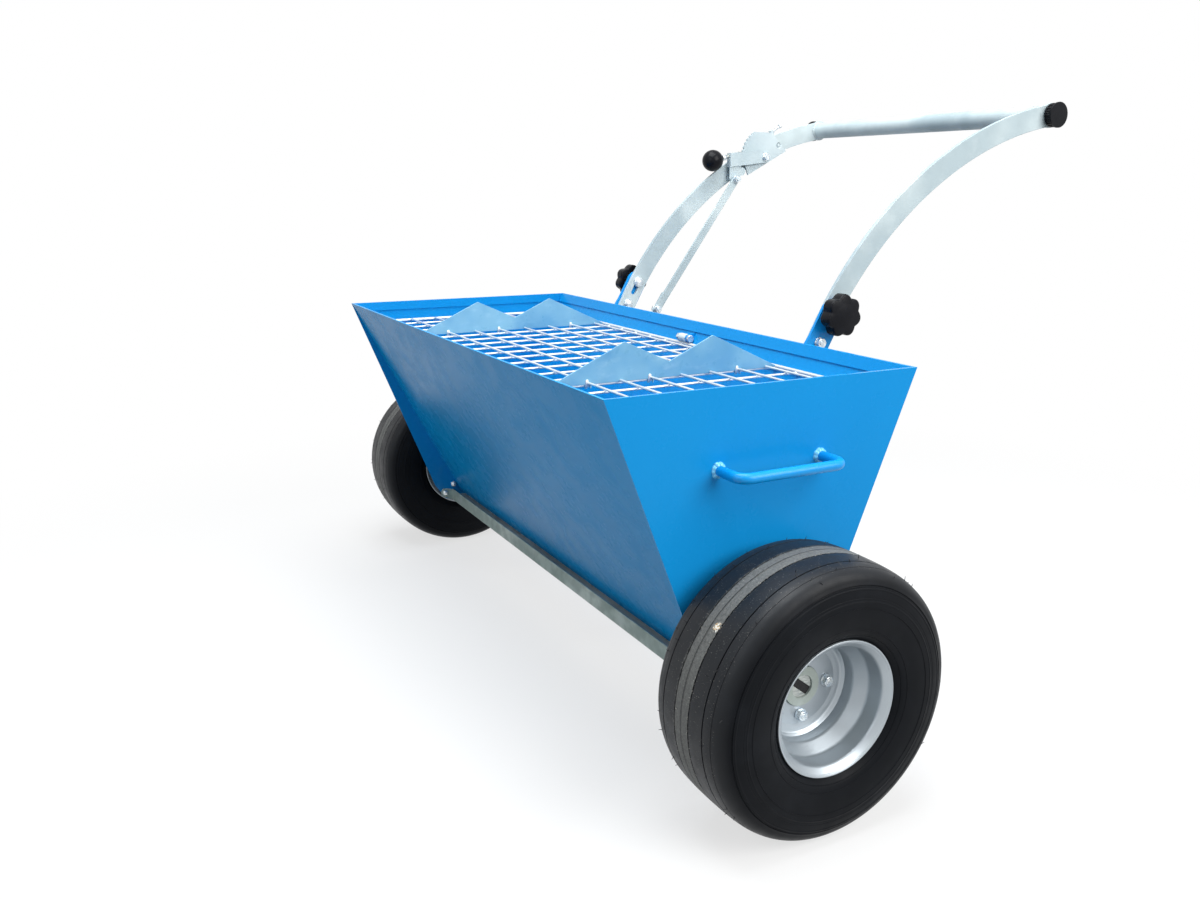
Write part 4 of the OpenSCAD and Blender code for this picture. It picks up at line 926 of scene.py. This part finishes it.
rng = random.Random(5)
wires = bmesh.new()
nubs = bmesh.new()
reach_y = ROD_Y - ROD_R
reach_x = ROD_X - ROD_R
across_count = int((ROD_X - 10) // PITCH_X)
long_ys = [13 + PITCH_Y * (i - 3.5) for i in range(-2, 10)]
long_ys = [y for y in long_ys if abs(y) < ROD_Y - 22]
for k in range(-across_count, across_count + 1):
    x = PITCH_X * k
    z = GRATE_Z - WIRE_DROP
    lathe(wires, Line((x, 0, z), (0, 1, 0)), [(-reach_y, 0), (-reach_y, WIRE_R), (reach_y, WIRE_R), (reach_y, 0)], 12)
    for y in long_ys:
        nub(nubs, x + rng.uniform(-0.4, 0.4), y, GRATE_Z + rng.uniform(-0.3, 0.3), 3.3 + rng.uniform(0, 0.6), 3.4, 2.3)
    for end in (-1, 1):
        nub(nubs, x, end * (reach_y - 0.6), GRATE_Z - 1.9, 3.6 + rng.uniform(0, 0.7), 3.0, 2.6)
for y in long_ys:
    z = GRATE_Z + WIRE_DROP
    lathe(wires, Line((0, y, z), (1, 0, 0)), [(-reach_x, 0), (-reach_x, WIRE_R), (reach_x, WIRE_R), (reach_x, 0)], 12)
    for end in (-1, 1):
        nub(nubs, end * (reach_x - 0.6), y, GRATE_Z + 1.9, 3.0, 3.6 + rng.uniform(0, 0.7), 2.6)
stand_for("grate_mesh", wires, "bright_wire", 50)
show("grate_welds", from_bm(nubs, "grate_welds"), "bright_wire", NODES["grate_mesh"]["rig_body"], (), 80)

# Bright tabs that hold the bag cutters on the wires
bm = bmesh.new()
for x in (-5.5 * PITCH_X + 1.6, 5 * PITCH_X + WIRE_R + 3.3):
    for i in (1, 3, 6):
        y = 13 + PITCH_Y * (i - 3.5)
        outline = fillet([(-3.6, -4.5), (3.6, -4.5), (3.2, 9.5), (-3.2, 9.5)], [1, 1, 2.4, 2.4], 4)
        loft(bm, [[place(x + t, y - 4 + a * k, GRATE_Z + b * k + (1 - k) * 2.5) for a, b in outline]
                  for t, k in ((0, 1), (0.9, 1), (1.2, 0.93))])
show("cutter_tabs", from_bm(bm, "cutter_tabs"), "bright_wire", NODES["grate_mesh"]["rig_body"], (), 40)

# CAD shapes with rounded edges and a finish
DRESSED = {
    # The front sheet takes the painted-shade copy of the blue coat.
    "shaded_front_coat": [("front_sheet", 1.0)],
    "blue_coat": [("rear_sheet", 1.0), ("left_end_plate", 0.9), ("right_end_plate", 0.9), ("shutter_lugs", 0.5),
                  ("stand_legs", 0.7), ("stand_foot", 0.6)],
    "blue_gloss": [("grate_lug", 0.5), ("left_arm_bracket", 0.9), ("right_arm_bracket", 0.9)],
    "pale_blue_coat": [("left_bag_cutter", 0.5), ("right_bag_cutter", 0.5)],
    "galvanised": [("left_arm", 1.0), ("right_arm", 1.0), ("link_bar", 0.7), ("link_rod", 0.5),
                   ("shutter_crank", 0.7), ("shutter", 0.5)],
    "pale_zinc": [("quadrant", 0.5), ("lever_bracket", 0.6), ("grate_bush", 0.6)],
    "cast_zinc": [("right_hub", 0.7), ("left_hub", 0.7)],
    "mottled_zinc": [("front_strip", 0.6)],
    "bright_wire": [("grate_border", 0)],
    "zinc_bolts": [("stand_bolts", 0.25)],
    "bright_steel": [("latch_spring", 0), ("axle_shaft", 0.5), ("left_collar", 0.5),
                     ("bearings", 0.3), ("shutter_rod", 0.4)],
    "black_plastic": [("tube_plugs", 0.5)],
    "black_iron": [("drive_key", 0.9), ("left_housing", 0.8), ("right_housing", 0.8)],
    "roller_rubber": [("feed_roller", 0.5)],
}
for finish, members in DRESSED.items():
    for node, width in members:
        dress(node, finish, width)

# Camera at the photograph's viewpoint
AZIMUTH, ELEVATION, ROLL = 1.0792, 0.2539, 0.0047
forward = Vector((-math.sin(AZIMUTH) * math.cos(ELEVATION), math.cos(AZIMUTH) * math.cos(ELEVATION), -math.sin(ELEVATION)))
right = Vector((math.cos(AZIMUTH), math.sin(AZIMUTH), 0))
up = right.cross(forward)
turned_right = math.cos(ROLL) * right + math.sin(ROLL) * up
turned_up = -math.sin(ROLL) * right + math.cos(ROLL) * up
lens = bpy.data.cameras.new("camera")
lens.sensor_width = 36
lens.lens = 1018 / 1200 * 36
lens.clip_start = 0.05
lens.clip_end = 60
camera = bpy.data.objects.new("camera", lens)
bpy.context.scene.collection.objects.link(camera)
matrix = Matrix((turned_right, turned_up, -forward)).transposed().to_4x4()
matrix.translation = place(1987.8, -1004.4, 1022.3)
camera.matrix_world = matrix
bpy.context.scene.camera = camera


# Floor and world: white where they are seen or reflected, a moderate level as light
def seen_ray(tree):
    """1 for rays that show the background: from the camera, a mirror or through glass."""
    path = tree.nodes.new("ShaderNodeLightPath")
    value = path.outputs["Is Camera Ray"]
    for name in ("Is Glossy Ray", "Is Transmission Ray"):
        node = tree.nodes.new("ShaderNodeMath")
        node.operation = "MAXIMUM"
        tree.links.new(value, node.inputs[0])
        tree.links.new(path.outputs[name], node.inputs[1])
        value = node.outputs[0]
    return value


def choose(tree, amount, a, b):
    node = tree.nodes.new("ShaderNodeMixShader")
    if isinstance(amount, float):
        node.inputs[0].default_value = amount
    else:
        tree.links.new(amount, node.inputs[0])
    tree.links.new(a, node.inputs[1])
    tree.links.new(b, node.inputs[2])
    return node.outputs[0]


def shader(tree, kind, level, strength=None, tint=(1, 1, 1)):
    node = tree.nodes.new(kind)
    node.inputs["Color"].default_value = (level * tint[0], level * tint[1], level * tint[2], 1)
    if strength is not None:
        node.inputs["Strength"].default_value = strength
    return node.outputs[0]


floor_mesh = bpy.data.meshes.new("floor")
reach = 14.0
floor_mesh.from_pydata([(-reach, -reach, 0), (reach, -reach, 0), (reach, reach, 0), (-reach, reach, 0)], [], [(0, 1, 2, 3)])
floor = bpy.data.objects.new("floor", floor_mesh)
bpy.context.scene.collection.objects.link(floor)
floor_mat = bpy.data.materials.new("pale_floor")
floor_mat.use_nodes = True
tree = floor_mat.node_tree
tree.nodes.clear()
out = tree.nodes.new("ShaderNodeOutputMaterial")
spot = tree.nodes.new("ShaderNodeTexCoord")
length = tree.nodes.new("ShaderNodeVectorMath")
length.operation = "LENGTH"
tree.links.new(spot.outputs["Object"], length.inputs[0])
fade = tree.nodes.new("ShaderNodeMapRange")
fade.interpolation_type = "SMOOTHSTEP"
for socket, value in (("From Min", 0.9), ("From Max", 2.4), ("To Min", 0.66), ("To Max", 1.0)):
    fade.inputs[socket].default_value = value
tree.links.new(length.outputs["Value"], fade.inputs["Value"])
pale = shader(tree, "ShaderNodeBsdfDiffuse", 0.84)
white = shader(tree, "ShaderNodeEmission", 1.0, 1.0)
shown = choose(tree, fade.outputs[0], pale, white)
lighting = shader(tree, "ShaderNodeBsdfDiffuse", 0.36)
tree.links.new(choose(tree, seen_ray(tree), lighting, shown), out.inputs["Surface"])
floor_mesh.materials.append(floor_mat)

world = bpy.data.worlds.new("world")
bpy.context.scene.world = world
world.use_nodes = True
tree = world.node_tree
tree.nodes.clear()
out = tree.nodes.new("ShaderNodeOutputWorld")
white = shader(tree, "ShaderNodeBackground", 1.0, 1.0)
light = shader(tree, "ShaderNodeBackground", 1.0, 0.30, (0.94, 0.97, 1.0))
tree.links.new(choose(tree, seen_ray(tree), light, white), out.inputs["Surface"])


def lamp(name, at, target, size, power, colour=(1, 1, 1)):
    data = bpy.data.lights.new(name, "AREA")
    data.shape = "RECTANGLE"
    data.size, data.size_y = size
    data.energy = power
    data.color = colour
    obj = bpy.data.objects.new(name, data)
    bpy.context.scene.collection.objects.link(obj)
    obj.location = at
    obj.rotation_euler = (Vector(target) - Vector(at)).to_track_quat("-Z", "Y").to_euler()
    return obj


lamp("key", (3.6, 1.2, 2.7), (0.3, -0.1, 0.5), (3.0, 3.0), 170, (1.0, 0.99, 0.97))
lamp("top", (0.2, -0.6, 3.7), (0.0, -0.1, 0.5), (2.8, 2.4), 150, (0.96, 0.99, 1.0))
lamp("front", (1.4, -3.6, 2.4), (0.1, -0.2, 0.6), (2.4, 1.8), 24, (0.96, 0.99, 1.0))

view = bpy.context.scene.view_settings
view.view_transform = "Standard"
